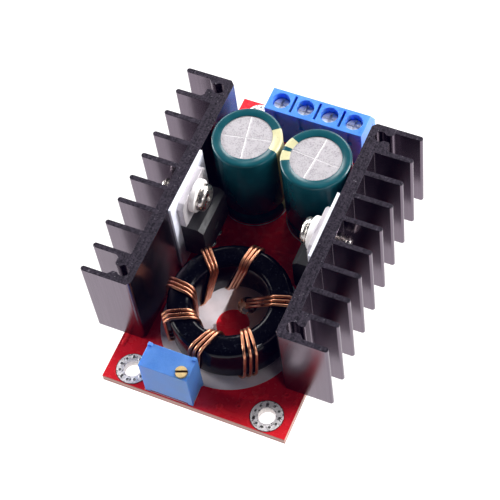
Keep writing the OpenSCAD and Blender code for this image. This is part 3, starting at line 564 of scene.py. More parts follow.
def tinFinish(name, dull, bright, rough=(0.16, 0.42), metal=1.0):
    return wander(newFinish(name, bright, 0.28, metal), dull, bright, 1.1, 0.16, rough, 0.012)


def mouldedFinish(name, darker, lighter, rough=(0.42, 0.62)):
    return wander(newFinish(name, lighter, 0.5), darker, lighter, 1.4, 0.09, rough, 0.014)


# solder tin that lies unevenly: bright flats, and duller hollows darkened to near-black as painted shade and
# reflection
def solderedFinish():
    finish = newFinish("tinnedPad", cornerLook["pad"], 0.4, 0.12)
    pools = grain(finish, 0.6, 3, 0.6, 0.6)
    dust = grain(finish, 0.14, 2)
    # painted shade and reflection: the hollows go near-black
    tin = ramp(finish, pools, *cornerLook["tin"])
    tint(finish, mix(finish, 1.0, tin, ramp(finish, dust, (0.3, 0.86), (0.6, 1.0)), "MULTIPLY"))
    gloss(finish, pools, 0.22, 0.5)
    relief(finish, pools, 0.05, 0.8)
    return finish


mask = maskFinish("redMask", boardLook["redDeep"], boardLook["redLight"])
trackMask = maskFinish("redMaskOverTracks", boardLook["trackDeep"], boardLook["trackLight"])
laminate = laminateFinish()
whitePrint = printFinish()
tinned = solderedFinish()
# painted shade: the plated holes' walls take a duller, darker tin than the pads
barrelShadeTin = tinFinish("barrelShadeTin", (0.62, 0.58, 0.56), (0.88, 0.83, 0.80), (0.3, 0.5), 0.15)
# near-black red for the ring round each pad: painted shadow
padShadowRing = mouldedFinish("padShadowRing", (0.045, 0.006, 0.008), (0.11, 0.012, 0.015))
# painted shade: near-black where the vias' holes would be
viaHoleShade = newFinish("viaMouth", (0.05, 0.045, 0.04), 0.6, 0.3)
wander(viaHoleShade, (0.03, 0.028, 0.025), (0.09, 0.08, 0.07), 0.5, 0.1, (0.4, 0.7), 0.01)


def makeBoard():
    plate = copyNode("circuit_board", "boardPlate")
    dress(plate, mask, laminate)
    paintFaces(plate, 1, upright)
    fit(plate, "board_mask", "circuit_board")

    t, padR = boardLook["printT"], boardLook["leadPadR"]
    section = ringSection(boardLook["openR"], boardLook["discR"], t)
    disc = turnPiece("printDisc", section, 128, (*boardLook["discAt"], deck))
    for spot in boardLook["leadPads"]:
        cutWith(disc, turnPiece("leadPadTool", [(0, -1), (padR, -1), (padR, 1), (0, 1)], 48, (*spot, deck)))
    section = ringSection(*boardLook["capRingR"], t)
    rings = [turnPiece("printRing", section, 96, (*spot, deck)) for spot in boardLook["capRings"]]
    lines = [flatLine("printLine", line, boardLook["printW"], t, deck) for line in boardLook["printLines"]]
    finishPiece(joinPieces(disc, *rings, *lines), whitePrint, "board_mask")

    w, t = boardLook["trackW"], boardLook["trackT"]
    tracks = [flatLine("track", line, w, t, deck) for line in boardLook["tracks"]]
    tracks += [flatLine("underTrack", line, w, t, under) for line in boardLook["underTracks"]]
    tracks += [turnPiece("tentedVia", boardLook["tent"], 24, (*spot, deck), 60) for spot in boardLook["vias"]]
    finishPiece(joinPieces(*tracks, name="boardTracks"), trackMask, "board_mask")


# plated holes ringed with vias, and a near-black ring round each that is a painted shadow at the pad's edge
def makeCornerPads():
    pads = copyNode("mounting_hole_plating", "cornerPads")
    soften(pads, cornerLook["edge"], 2, 50)
    dress(pads, tinned, viaHoleShade, barrelShadeTin)
    middle, reach = (deck + under) / 2 * mm, cornerLook["barrel"] * mm
    # the hole's wall gets the darker tin, painted shade
    paintFaces(pads, 2, lambda face: upright(face) and abs(face.center.z - middle) < reach)
    r, ring = cornerLook["viaR"], cornerLook["viaRing"]
    via = turnPiece("padVia", [(share * r, z) for share, z in cornerLook["viaMouth"]], 16, angle=50)
    dress(via, tinned, viaHoleShade)
    # the via's flat centre is painted near-black as the shade of a hole
    hole = cornerLook["viaShadeShare"] * r * mm
    paintFaces(via, 1, lambda face: math.hypot(face.center.x, face.center.y) < hole and face.normal.z > 0.3)
    vias, out = [], cornerLook["outR"]
    for x, y in cornerLook["places"]:
        for face, z in ((1, deck), (-1, under)):
            # a near-black ring round the pad: painted shadow at its edge
            rim = ringSection(out, out + cornerLook["gap"], cornerLook["shadowRingT"] * face)
            vias.append(turnPiece("padShadowRing", rim, 64, (x, y, z)))
            dress(vias[-1], padShadowRing)
            for i in range(cornerLook["vias"]):
                angle = math.radians(360 / cornerLook["vias"] * i + cornerLook["viaTurn"])
                spot = (x + ring * math.cos(angle), y + ring * math.sin(angle), z)
                vias.append(setDown(copyPiece(via, "padVia"), spot, (0 if face > 0 else 180, 0, 0)))
    discard(via)
    fit(joinPieces(pads, *vias), "tinned_pad", "mounting_hole_plating")


makeBoard()
makeCornerPads()
print("board ready")


# heatsinks: black anodised extrusion with sawn ends, and their screws

sinkLook = {
    "edge": 0.08, "footEdge": 0.1,
    "black": (0.150, 0.119, 0.151), "grey": (0.176, 0.140, 0.177), "nick": (0.26, 0.24, 0.27),
    "sawDark": (0.004, 0.003, 0.006), "sawLight": (0.048, 0.038, 0.055), "speck": (0.17, 0.155, 0.185),
}


def anodisedFinish(name, nicks):
    finish = newFinish(name, sinkLook["black"], 0.27, 1.0)
    lines = grain(finish, 0.3, 4, scale=(1, 1, 0.02))  # die lines run up the extrusion
    patches = grain(finish, 5.0, 3)
    coat = ramp(finish, lines, (0.3, sinkLook["black"]), (0.7, sinkLook["grey"]))
    if nicks:
        bare = ramp(finish, grain(finish, 0.9, 4, 0.7), (0.56, 0.0), (0.66, 1.0))
        coat = mix(finish, bare, coat, sinkLook["nick"])
    tint(finish, coat)
    gloss(finish, patches, 0.21, 0.26)
    relief(finish, lines, 0.002, 0.3)
    return finish


# blackened saw cut: faint, broken saw lines under a fine mottle, with a few bare specks
def sawnFinish():
    finish = newFinish("sawnEnd", sinkLook["sawLight"], 0.5, 0.8)
    cuts = grain(finish, 0.34, 3, 0.6, 0.5, (1, 0.12, 1), (0, 0, 38))
    dust = grain(finish, 0.36, 4, 0.7)
    blend = sums(finish, "MULTIPLY_ADD", cuts, 0.3, sums(finish, "MULTIPLY", dust, 0.7))
    base = ramp(finish, blend, (0.40, sinkLook["sawDark"]), (0.64, sinkLook["sawLight"]))
    specks = ramp(finish, grain(finish, 0.6, 3, 0.7), (0.65, 0.0), (0.71, 1.0))
    tint(finish, mix(finish, specks, base, sinkLook["speck"]))
    gloss(finish, dust, 0.42, 0.62)
    relief(finish, blend, 0.02)
    return finish


anodised = anodisedFinish("blackAnodised", False)
wornEdge = anodisedFinish("wornAnodisedEdge", True)
sawn = sawnFinish()
plated = tinFinish("nickelPlate", (0.66, 0.62, 0.58), (0.95, 0.91, 0.86), (0.2, 0.36))


# the cut ends, and the upper side of the rounded edges, which have the third finish
def sawCut(face):
    return abs(face.normal.z) > 0.98 or face.material_index == 2 and face.normal.z > 0.35


def makeHeatsinks():
    for side in ("left", "right"):
        sink = copyNode(side + "_heatsink", side + "Heatsink")
        dress(sink, anodised, sawn, wornEdge)
        soften(sink, sinkLook["edge"], 2, 50, 2)
        paintFaces(sink, 1, sawCut)
        fit(sink, "black_anodised", side + "_heatsink")
    dressNode("heatsink_screws", "footScrews", sinkLook["footEdge"], plated, "plated_screw")


makeHeatsinks()
print("heatsinks ready")


# power devices and what clamps them

deviceLook = {
    "boltZ": 19.6, "tabFace": 12.1, "bushFace": 10.9, "lockFace": 10.5,
    "leadX": 10.7, "leadPitch": 2.54, "leadEdge": 0.06, "solderR": 0.42,
    "padEdge": 0.08, "caseEdge": 0.16, "tabEdge": 0.12, "washerEdge": 0.04, "split": 0.44, "splitTurn": 28,
    # profiles: radius and height
    "collar": [(0.3, 0.0), (0.95, 0.0), (0.9, 0.06), (0.55, 0.16), (0.3, 0.3), (0.3, 0.0)],
    "washer": [(1.62, 0.02), (2.56, 0.0), (2.6, 0.2), (2.56, 0.4), (1.62, 0.38), (1.62, 0.02)],
    "bush": [
        (1.53, -1.18), (1.77, -1.18), (1.77, 0.0), (3.1, 0.0), (3.2, 0.1), (3.2, 0.85),
        (3.14, 1.04), (3.0, 1.16), (2.8, 1.2), (1.7, 1.2), (1.53, 1.06), (1.53, -1.18),
    ],
}
boltLook = {
    "head": [
        (0, 1.2), (1.0, 1.19), (1.6, 1.15), (2.05, 1.06), (2.4, 0.88),
        (2.56, 0.62), (2.6, 0.1), (2.5, 0), (1.48, 0)],
    "edge": 0.06, "slotL": 2.9, "slotW": 0.76, "slotFloor": 0.5, "slotTaper": 0.6, "slotTurn": 22,
    "under": 8, "neck": 0.4, "tip": 0.3, "tipIn": 0.25, "rootR": 1.2, "threadR": 1.5,
    "pitch": 0.5, "flank": 0.19, "crest": 0.06, "sunk": 0.05, "short": 0.1, "runOut": 0.6,
}


def paleFinish(name, darker, lighter, rough):
    finish = newFinish(name, lighter, rough)
    return wander(finish, darker, lighter, 2.2, 0.2, (rough - 0.1, rough + 0.12), 0.01)


def brushedFinish(name, darker, lighter, rough, metal):
    finish = newFinish(name, lighter, 0.32, metal)
    return wander(finish, darker, lighter, 0.9, 0.12, rough, 0.006, (1, 0.08, 1))


insulator = paleFinish("whiteInsulator", (0.68, 0.69, 0.80), (0.80, 0.81, 0.90), 0.5)
bushPlastic = paleFinish("ivoryBush", (0.88, 0.84, 0.83), (0.97, 0.93, 0.93), 0.4)
mouldedCase = mouldedFinish("mouldedCase", (0.008, 0.0075, 0.009), (0.019, 0.018, 0.021))
tabMetal = brushedFinish("tinnedTab", (0.52, 0.485, 0.51), (0.70, 0.655, 0.68), (0.4, 0.55), 0.45)
leadTin = tinFinish("tinnedLead", (0.45, 0.44, 0.43), (0.72, 0.71, 0.69))


def makeThread(name, length):
    pitch, flank, crest = boltLook["pitch"], boltLook["flank"], boltLook["crest"]
    root, top = boltLook["rootR"] - boltLook["sunk"], boltLook["threadR"]
    section = ((root, 0), (top, flank), (top, flank + crest), (root, 2 * flank + crest), (root, 0))
    ridge = drawOutline(name, [(r, z - length) for r, z in section])
    bpy.ops.mesh.remove_doubles(threshold=weld)
    release()
    turns = int((length - boltLook["runOut"]) / pitch)
    shape(ridge, "SCREW", axis="Z", angle=2 * math.pi, screw_offset=pitch * mm, iterations=turns,
          steps=24, render_steps=24, use_merge_vertices=True, merge_threshold=weld / 2)
    editMesh(ridge)
    bpy.ops.mesh.fill_holes(sides=6)
    bpy.ops.mesh.select_all(action="SELECT")
    bpy.ops.mesh.normals_make_consistent(inside=False)
    smooth(ridge, 30)
    return ridge


def makeClampScrew():
    root, end = boltLook["rootR"], -boltLook["under"]
    tip = [(root, end + boltLook["tip"]), (root - boltLook["tipIn"], end), (0, end)]
    screw = turnPiece("clampScrew", boltLook["head"] + [(root, -boltLook["neck"])] + tip, 48)
    x, y, taper = boltLook["slotL"] / 2, boltLook["slotW"] / 2, boltLook["slotTaper"]
    cutCross(screw, x, y, boltLook["slotFloor"], 3, (taper, taper, 1), boltLook["slotTurn"])
    soften(screw, boltLook["edge"], 2, 40)
    return joinPieces(screw, makeThread("clampThread", boltLook["under"] - boltLook["short"]))


def makeLockWasher():
    washer = turnPiece("lockWasher", deviceLook["washer"], 64)
    half = deviceLook["split"] / 2
    gap = startBlock("splitTool", (1, -half, -0.6), (4, half, 1.6))
    cutWith(washer, setDown(gap, turn=(deviceLook["splitTurn"], 0, 0)))
    soften(washer, deviceLook["washerEdge"], 2, 40)
    return washer


# leads that stand in collars of solder
def makeDeviceLeads(part, s):
    leads = copyNode(part + "_leads", part + "Leads")
    soften(leads, deviceLook["leadEdge"])
    collars = []
    for i in (-1, 0, 1):
        spot = (s * deviceLook["leadX"], i * deviceLook["leadPitch"], deck)
        collars.append(turnPiece("leadCollar", deviceLook["collar"], 32, spot, 60))
    finishPiece(joinPieces(leads, *collars), leadTin, "tinned_lead", part + "_leads")


def makeDevices():
    washer = makeLockWasher()
    bush = turnPiece("shoulderBush", deviceLook["bush"], 72, angle=35)
    screw = makeClampScrew()
    for side, s, part in (("left", -1, "transistor"), ("right", 1, "rectifier")):
        padNode = side + "_insulator_pad"
        dressNode(padNode, side + "InsulatorPad", deviceLook["padEdge"], insulator, "white_insulator")
        dressNode(part + "_case", part + "Case", deviceLook["caseEdge"], mouldedCase, "moulded_case", rounds=3)
        dressNode(part + "_tab", part + "Tab", deviceLook["tabEdge"], tabMetal, "device_tab")
        makeDeviceLeads(part, s)
        for source, name, face, finish, slot, node in (
                (bush, side + "Bush", "tabFace", bushPlastic, "bush_plastic", side + "_bush"),
                (washer, side + "LockWasher", "bushFace", plated, "plated_screw", side + "_lock_washer"),
                (screw, side + "ClampScrew", "lockFace", plated, "plated_screw", side + "_clamp_screw")):
            spot = (s * deviceLook[face], 0, deviceLook["boltZ"])
            piece = setDown(copyPiece(source, name), spot, (0, -90 * s, 0))
            finishPiece(piece, finish, slot, node)
    discard(washer, bush, screw)


makeDevices()
print("power devices ready")


# capacitors: printed sleeve over a scored can

capLook = {
    "x": 6.85, "y": 12.6, "r": 6.6, "rim": 1.8, "foot": 0.3, "top": 20.0, "edge": 0.45, "sleeveT": 0.15,
    "waist": 11, "lip": (0.06, 0.05), "leadOut": 2.5, "leadEdge": 0.06, "solderR": 0.4,
    # groove of the sleeve near its foot: depth and height
    "groove": [(0, 2.0), (0.1, 2.3), (0.36, 2.62), (0.45, 2.8), (0.36, 2.98), (0.1, 3.3), (0, 3.6)],
    # can: gap to the sleeve, drop from its rim, shoulder (inset and drop), and foot (inset and height)
    "canGap": 0.18, "canDrop": 0.17, "shoulder": [(0.3, 0), (0.1, 0.1), (0, 0.3)],
    "canFoot": [(0, 3.5), (0.45, 2.8), (0, 2.1), (0, 0.3), (0.9, 0.3), (1.0, 0.5), (1.0, 1.8)],
    "scoreIn": 0.12, "scoreW": 0.44, "scoreT": 0.07, "scoreTaper": 0.3,
    "green": (0.005, 0.068, 0.086), "greenDeep": (0.004, 0.054, 0.070), "mark": (0.56, 0.53, 0.31),
    "canDull": (0.17, 0.155, 0.17), "canBright": (0.46, 0.435, 0.46),
    # half angles of the mark and of its dashes, and the dashes' first drop, pitch and length
    "markHalf": 24.5, "dashHalf": 4.4, "dashDrop": 0.6, "dashPitch": 8, "dashL": 3.2,
    "left": {"score": 10.6, "mark": 13.0, "dash": 4.0}, "right": {"score": -5.3, "mark": 179.0, "dash": 0.0},
}


# the mark runs down the sleeve, with dashes left out of it every few millimetres
def sleeveFinish(side, centre):
    own = capLook[side]
    finish = newFinish(side + "Sleeve", capLook["green"], 0.24, Specular_IOR_Level=0.38)
    turn = math.radians(-own["mark"])
    c, s = math.cos(turn), math.sin(turn)
    shift = (centre[1] * s - centre[0] * c, -centre[0] * s - centre[1] * c, 0)
    x, y, z = split(finish, place(finish, shift=shift, turn=(0, 0, -own["mark"])))
    angle = sums(finish, "ABSOLUTE", sums(finish, "ARCTAN2", y, x))
    stripe = sums(finish, "LESS_THAN", angle, math.radians(capLook["markHalf"]))
    fromTop = sums(finish, "SUBTRACT", (deck + capLook["top"] + capLook["dashDrop"] - own["dash"]) * mm, z)
    along = sums(finish, "FLOORED_MODULO", fromTop, capLook["dashPitch"] * mm)
    narrow = sums(finish, "LESS_THAN", angle, math.radians(capLook["dashHalf"]))
    dash = sums(finish, "MULTIPLY", narrow, sums(finish, "LESS_THAN", along, capLook["dashL"] * mm))
    printed = sums(finish, "SUBTRACT", stripe, sums(finish, "MINIMUM", stripe, dash))
    clouds = grain(finish, 2.0, 4)
    film = ramp(finish, clouds, (0.3, capLook["greenDeep"]), (0.7, capLook["green"]))
    worn = ramp(finish, grain(finish, 0.3, 3, 0.7), (0.3, 0.25), (0.42, 0.0))
    ink = mix(finish, worn, capLook["mark"], capLook["green"])
    tint(finish, mix(finish, printed, film, ink))
    gloss(finish, clouds, 0.2, 0.27)
    relief(finish, grain(finish, 1.2, 2, scale=(1, 1, 0.2)), 0.004, 0.2)
    return finish


def canFinish():
    finish = newFinish("canTop", capLook["canBright"], 0.5, 0.55)
    dust = grain(finish, 0.28, 4, 0.7)
    patches = grain(finish, 1.3, 3)
    blend = sums(finish, "MULTIPLY_ADD", dust, 0.75, sums(finish, "MULTIPLY", patches, 0.25))
    tint(finish, ramp(finish, blend, (0.30, capLook["canDull"]), (0.52, capLook["canBright"])))
    gloss(finish, dust, 0.4, 0.62)
    relief(finish, blend, 0.03)
    return finish


canMetal = canFinish()
# pale finish for the score's walls: a painted highlight
scoreHighlight = paleFinish("scorePaintedHighlight", (0.66, 0.64, 0.66), (0.82, 0.80, 0.82), 0.4)
sealRubber = mouldedFinish("sealRubber", (0.012, 0.012, 0.012), (0.035, 0.034, 0.033), (0.6, 0.85))


def sleeveProfile():
    r, top, edge, t = capLook["r"], capLook["top"], capLook["edge"], capLook["sleeveT"]
    foot, groove, rimR = capLook["foot"], capLook["groove"], capLook["r"] - capLook["rim"]
    outer = [(r, foot)] + [(r - deep, z) for deep, z in groove] + [(r, capLook["waist"])]
    outer += arcPoints(r - edge, top - edge, edge, 0, 90, 8)
    outer += [(rimR + capLook["lip"][0], top), (rimR, top - capLook["lip"][1])]
    inner = [(rimR, top - t)] + arcPoints(r - edge, top - edge, edge - t, 90, 0, 6)
    inner += [(r - deep - t, z) for deep, z in groove[::-3]] + [(r - t, foot), (r, foot)]
    return outer + inner


# a turned can with a cross stamped into its top, whose sloping walls are painted pale as a highlight
def makeCan(name, score):
    r, top = capLook["r"] - capLook["canGap"], capLook["top"] - capLook["canDrop"]
    profile = [(0, top)] + [(r - inset, top - drop) for inset, drop in capLook["shoulder"]]
    profile += [(r - inset, z) for inset, z in capLook["canFoot"]] + [(0, capLook["canFoot"][-1][1])]
    can = turnPiece(name, profile, 96)
    half, w, t = capLook["r"] - capLook["rim"] - capLook["scoreIn"], capLook["scoreW"] / 2, capLook["scoreT"]
    cutCross(can, half, w, top - t, top + 0.05, (1, capLook["scoreTaper"], 1), score)
    dress(can, canMetal, scoreHighlight)
    # the score's sloping walls take the pale finish, a painted highlight
    paintFaces(can, 1, lambda face: face.center.z > (top - 2 * t) * mm and 0.2 < face.normal.z < 0.995
               and math.hypot(face.center.x, face.center.y) < half * mm)
    smooth(can, 20)
    return can


def makeCapacitors():
    for side, s in (("left", -1), ("right", 1)):
        centre = (s * capLook["x"], capLook["y"])
        sleeve = turnPiece(side + "Sleeve", sleeveProfile(), 96, (*centre, deck), 50)
        finishPiece(sleeve, sleeveFinish(side, centre), "capacitor_sleeve", side + "_capacitor_sleeve")
        can = setDown(makeCan(side + "Can", capLook[side]["score"]), (*centre, deck))
        fit(can, "capacitor_can", side + "_capacitor_can")
        for part, finish, slot in (("seal", sealRubber, "seal_rubber"), ("leads", leadTin, "tinned_lead")):
            name = f"{side}Capacitor{part.title()}"
            dressNode(f"{side}_capacitor_{part}", name, capLook["leadEdge"], finish, slot)


makeCapacitors()
print("capacitors ready")


# inductor: coated ring and a winding of three strands

coilLook = {
    "at": (0.5, -14.6), "outR": 11.6, "inR": 7.1, "h": 9.0, "round": 1.2,
    "strand": 0.64, "shown": 0.6, "gap": 0.06,
    # each turn: inner and outer angle, lean down the outer face, slack, and strand steps inside and outside
    "turns": [
        (15, 16, 0, 0, 6.4, 4.4), (-42, -48.6, -3, 0, 5.5, 5.4), (-85, -98.6, -5, 0.15, 5.9, 4.7),
        (-128.5, -142.7, 0, 0.4, 6.8, 3.9), (-168, -177.5, 0, 0.1, 6.2, 3.6), (-220.5, -224.2, 0, 0, 5.2, 3.6),
        (-266.5, -273.5, 0, 0, 5.2, 3.8),
    ],
    "drift": 1.5, "firstPoint": 6, "innerLead": (1.188, -10.254), "outerLead": (1.125, -2.636),
    "leadFoot": -1.6, "leadRise": 0.8, "spread": 0.72,
    "dome": [
        (0, 0.5), (0.6, 0.42), (1.1, 0.26), (1.4, 0.14), (1.58, 0.12),
        (1.74, 0.16), (1.86, 0.1), (1.9, -0.05), (0, -0.05)],
    "underDome": [
        (0, -0.9), (0.6, -0.84), (1.1, -0.68), (1.5, -0.45), (1.75, -0.2), (1.9, -0.03), (1.9, 0), (0, 0)],
    "black": (0.0016, 0.0017, 0.0034), "speck": (0.018, 0.021, 0.030),
    "copperDark": (0.44, 0.160, 0.080), "copper": (0.74, 0.325, 0.178),
}


def coreFinish():
    finish = newFinish("coreCoating", coilLook["black"], 0.2, Specular_IOR_Level=0.15)
    specks = ramp(finish, grain(finish, 0.42, 3, 0.65), (0.60, 0.0), (0.72, 1.0))
    tint(finish, mix(finish, specks, coilLook["black"], coilLook["speck"]))
    orange = grain(finish, 0.9, 2)
    gloss(finish, orange, 0.12, 0.24)
    relief(finish, orange, 0.02, 0.5)
    return finish


def copperFinish():
    finish = newFinish("enamelledCopper", coilLook["copper"], 0.3, 1.0, Coat_Weight=0.7, Coat_Roughness=0.24)
    clouds = grain(finish, 2.4, 2)
    tone = ramp(finish, clouds, (0.25, coilLook["copperDark"]), (0.6, coilLook["copper"]))
    tint(finish, tone)
    gloss(finish, clouds, 0.27, 0.34)
    relief(finish, grain(finish, 0.5, 2), 0.002, 0.2)
    return finish


coreCoat = coreFinish()
copper = copperFinish()
solder = tinFinish("solder", (0.44, 0.43, 0.42), (0.80, 0.79, 0.77), (0.14, 0.34))


# radius and height round the core's section, from the inner top edge outwards, with the length along it
def coilSection():
    half, gap = coilLook["strand"] / 2, coilLook["gap"]
    low = coilLook["strand"] + 2 * gap
    inner, outer = coilLook["inR"] - half - gap, coilLook["outR"] + half + gap
    bottom, top = low - half - gap, low + coilLook["h"] + half + gap
    bend = coilLook["round"] + half + gap
    across = [inner + bend + (outer - inner - 2 * bend) * i / 5 for i in range(1, 5)]
    rising = arcPoints(inner + bend, top - bend, bend, 180, 90, 8) + [(r, top) for r in across]
    rising += arcPoints(outer - bend, top - bend, bend, 90, 0, 8)
    falling = [(outer, (top + bottom) / 2)] + arcPoints(outer - bend, bottom + bend, bend, 0, -90, 6)
    falling += arcPoints(inner + bend, bottom + bend, bend, 270, 180, 6)
    section = rising + falling
    along = [0.0]
    for a, b in zip(section, section[1:] + section[:1]):
        along.append(along[-1] + math.dist(a, b))
    return section, along, len(rising) - 1, len(rising) + 1


def strandRoute(s):
    section, along, crest, heel = coilSection()
    turns, x, y = coilLook["turns"], *coilLook["at"]

    def lead(hole, angle, z):
        a, aside = math.radians(angle), s * coilLook["spread"]
        return (hole[0] - aside * math.sin(a), hole[1] + aside * math.cos(a), deck + z)

    foot, rise = coilLook["leadFoot"], coilLook["leadRise"]
    route = [lead(coilLook["innerLead"], turns[0][0], z) for z in (foot, rise)]
    for k, (start, end, lean, slack, inStep, outStep) in enumerate(turns):
        last = k + 1 == len(turns)
        after = (end + lean, 0, 0, 0, inStep) if last else turns[k + 1]
        for i in range(0 if k else coilLook["firstPoint"], crest + 1 if last else len(section)):
            r, z = section[i]
            share = (r - coilLook["inR"]) / (coilLook["outR"] - coilLook["inR"])
            if i <= crest:  # drifts across the top, early rather than late
                angle = start + (end - start) * (1 - (1 - along[i] / along[crest]) ** coilLook["drift"])
            elif i <= heel:
                angle = end + lean * (along[i] - along[crest]) / (along[heel] - along[crest])
            else:
                part = (along[i] - along[heel]) / (along[-1] - along[heel])
                angle = end + lean + (after[0] - end - lean) * part
            if i <= heel:
                r += slack * max(0, 2 * share - 1)
            near = inStep if i <= heel else after[4]
            a = math.radians(angle + s * (near + (outStep - near) * share))
            route.append((x + r * math.cos(a), y + r * math.sin(a), deck + z))
    return route + [lead(coilLook["outerLead"], turns[-1][1], z) for z in (rise, foot)]


def makeDomes(name, profile, z):
    return [turnPiece(name, profile, 40, (*coilLook[hole], z), 60) for hole in ("innerLead", "outerLead")]


def makeInductor():
    low = coilLook["strand"] + 2 * coilLook["gap"]
    out, inn, r, h = coilLook["outR"], coilLook["inR"], coilLook["round"], coilLook["h"]
    profile = arcPoints(out - r, low + r, r, -90, 0, 8) + arcPoints(out - r, low + h - r, r, 0, 90, 8)
    profile += arcPoints(inn + r, low + h - r, r, 90, 180, 8) + arcPoints(inn + r, low + r, r, 180, 270, 8)
    core = turnPiece("ringCore", profile + profile[:1], 144, (*coilLook["at"], deck), 50)
    finishPiece(core, coreCoat, "core_coating", "inductor_core")
    for number, s in ((1, -1), (2, 0), (3, 1)):
        strand = wirePiece(f"coilStrand{number}", strandRoute(s), coilLook["shown"], 12)
        finishPiece(strand, copper, "copper_wire", f"inductor_strand_{number}")
    domes = makeDomes("leadDome", coilLook["dome"], deck)
    finishPiece(joinPieces(*domes, name="coilSolder"), solder, "solder")


makeInductor()
print("inductor ready")


# terminal block

blockLook = {
    "deep": (0.056, 0.205, 0.70), "bright": (0.092, 0.280, 0.82), "edge": 0.16, "screwEdge": 0.07,
    "cageEdge": 0.08, "pinEdge": 0.06, "pinX": (-7.5, -2.5, 2.5, 7.5), "pinY": 26.87, "solderR": 0.5,
}


def plasticFinish(name, deep, bright, rough=(0.26, 0.42)):
    finish = newFinish(name, bright, 0.33, Specular_IOR_Level=0.32, Subsurface_Weight=0.3,
                       Subsurface_Scale=3 * mm, Subsurface_Radius=(0.15, 0.4, 1.0))
    return wander(finish, deep, bright, 3.0, 0.14, rough, 0.008)


blockPlastic = plasticFinish("blueTerminal", blockLook["deep"], blockLook["bright"])
terminalSteel = tinFinish("terminalSteel", (0.62, 0.61, 0.64), (0.94, 0.93, 0.95), (0.26, 0.44), 0.5)


def makeTerminal():
    look, metal = blockLook, "terminal_metal"
    dressNode("terminal_housing", "terminalHousing", look["edge"], blockPlastic, "terminal_plastic", sharp=40)
    for i in (1, 2, 3, 4):
        screw, cage = f"terminal_screw_{i}", f"terminal_cage_{i}"
        dressNode(screw, f"poleScrew{i}", look["screwEdge"], terminalSteel, metal, screw, sharp=40)
        dressNode(cage, f"poleCage{i}", look["cageEdge"], terminalSteel, metal, cage)
    dressNode("terminal_pins", "poleBars", look["pinEdge"], leadTin, metal)


makeTerminal()
print("terminal block ready")


# trimmer

trimLook = {
    "deep": (0.060, 0.184, 0.52), "bright": (0.094, 0.244, 0.62), "edge": 0.15, "innerEdge": 0.06,
    "screwEdge": 0.08, "screwR": 1.1, "rim": 0.09, "slotT": 0.62,
    "brassDull": (0.56, 0.38, 0.15), "brass": (0.82, 0.62, 0.30),
    "pinsAt": (-4.6, -30.38), "pinPitch": 2.54, "solderR": 0.25,
}
trimPlastic = plasticFinish("blueTrimmer", trimLook["deep"], trimLook["bright"], (0.34, 0.5))
trimSeal = paleFinish("trimmerSeal", (0.10, 0.20, 0.42), (0.16, 0.30, 0.55), 0.5)
brass = tinFinish("brassScrew", trimLook["brassDull"], trimLook["brass"], (0.3, 0.5), 0.35)
# dark brass for the screw's slot: painted shade
brassShade = tinFinish("slotPaintedShade", (0.09, 0.05, 0.018), (0.20, 0.115, 0.045), (0.45, 0.6), 0.35)


# the slot of the adjusting screw is painted dark: painted shade in the recess
def darkenSlot(screw):
    points = [v.co for v in screw.data.vertices]
    top = max(p.z for p in points)
    x, y = ((min(p[k] for p in points) + max(p[k] for p in points)) / 2 for k in (0, 1))
    inner = (trimLook["screwR"] - trimLook["rim"]) * mm
    screw.data.materials.append(brassShade)
    paintFaces(screw, 1, lambda face: trimLook["rim"] * mm < top - face.center.z < trimLook["slotT"] * mm
               and math.hypot(face.center.x - x, face.center.y - y) < inner)


def makeTrimmer():
    for node, name, edge, finish, slot, body in (
            ("trimmer_housing", "trimmerHousing", "edge", trimPlastic, "trimmer_plastic", "module"),
            ("trimmer_base", "trimmerBase", "innerEdge", trimSeal, "trimmer_seal", "module"),
            ("trimmer_pins", "trimmerPins", "innerEdge", leadTin, "tinned_lead", "module"),
            ("trimmer_screw", "trimmerScrew", "screwEdge", brass, "brass_screw", "trimmer_screw")):
        piece = dressNode(node, name, trimLook[edge], finish, slot, body, 3, 40)
    darkenSlot(piece)  # the screw comes last


makeTrimmer()
print("trimmer ready")


# underside: controller, chips and solder joints

underLook = {
    # size, length of the metal ends, and places with their turn
    "resistor": {"size": (2.0, 1.25, 0.5), "end": 0.34, "places": [
        (2, 2.4, 0), (2, 4.4, 0), (2, 6.4, 0), (5.2, 2.4, 0), (5.2, 4.4, 0),
        (-3, -26.6, 0), (-6.2, -26.6, 0), (3, -27, 90)]},
    "capacitor": {"size": (2.0, 1.25, 0.85), "end": 0.34, "places": [
        (2, 8.6, 0), (5.2, 6.6, 0), (5, -6, 90), (-2.6, -6, 90)]},
    "sense": {"size": (6.3, 3.1, 0.55), "end": 0.7, "places": [(-3.5, -15.0, 0), (-3.5, -19.0, 0)]},
    "proud": 0.03, "chipEdge": 0.05, "controllerEdge": 0.07, "legEdge": 0.05,
    "pinMarkAt": (-5.3, 3.2, 0.35), "pinMarkR": 0.32, "pinMarkT": 0.06,
    # solder that climbs a lead: how far out, and how low
    "fillet": [(0.55, 0), (0.55, -0.05), (0.39, -0.12), (0.26, -0.30), (0.15, -0.55), (0.08, -0.80), (0, -0.9)],
    "railW": 1.9, "railT": 0.22,
    "rails": [
        [(-7.5, 26.87), (-7.5, 18.0), (-9.35, 12.6)], [(-2.5, 26.87), (-2.5, 19.0), (-4.35, 12.6)],
        [(2.5, 26.87), (2.5, 19.0), (4.35, 12.6)], [(7.5, 26.87), (7.5, 18.0), (9.35, 12.6)],
        [(1.1, -2.6), (6.0, -1.6), (10.7, 0.0)], [(1.1, -2.6), (-5.0, -1.6), (-10.7, 0.0)],
        [(1.2, -10.2), (0.6, -13.0), (-0.6, -15.0)],
    ],
}
chipBlack = mouldedFinish("chipBlack", (0.010, 0.010, 0.011), (0.030, 0.029, 0.031))
chipTan = mouldedFinish("chipTan", (0.34, 0.23, 0.13), (0.50, 0.36, 0.22), (0.35, 0.55))


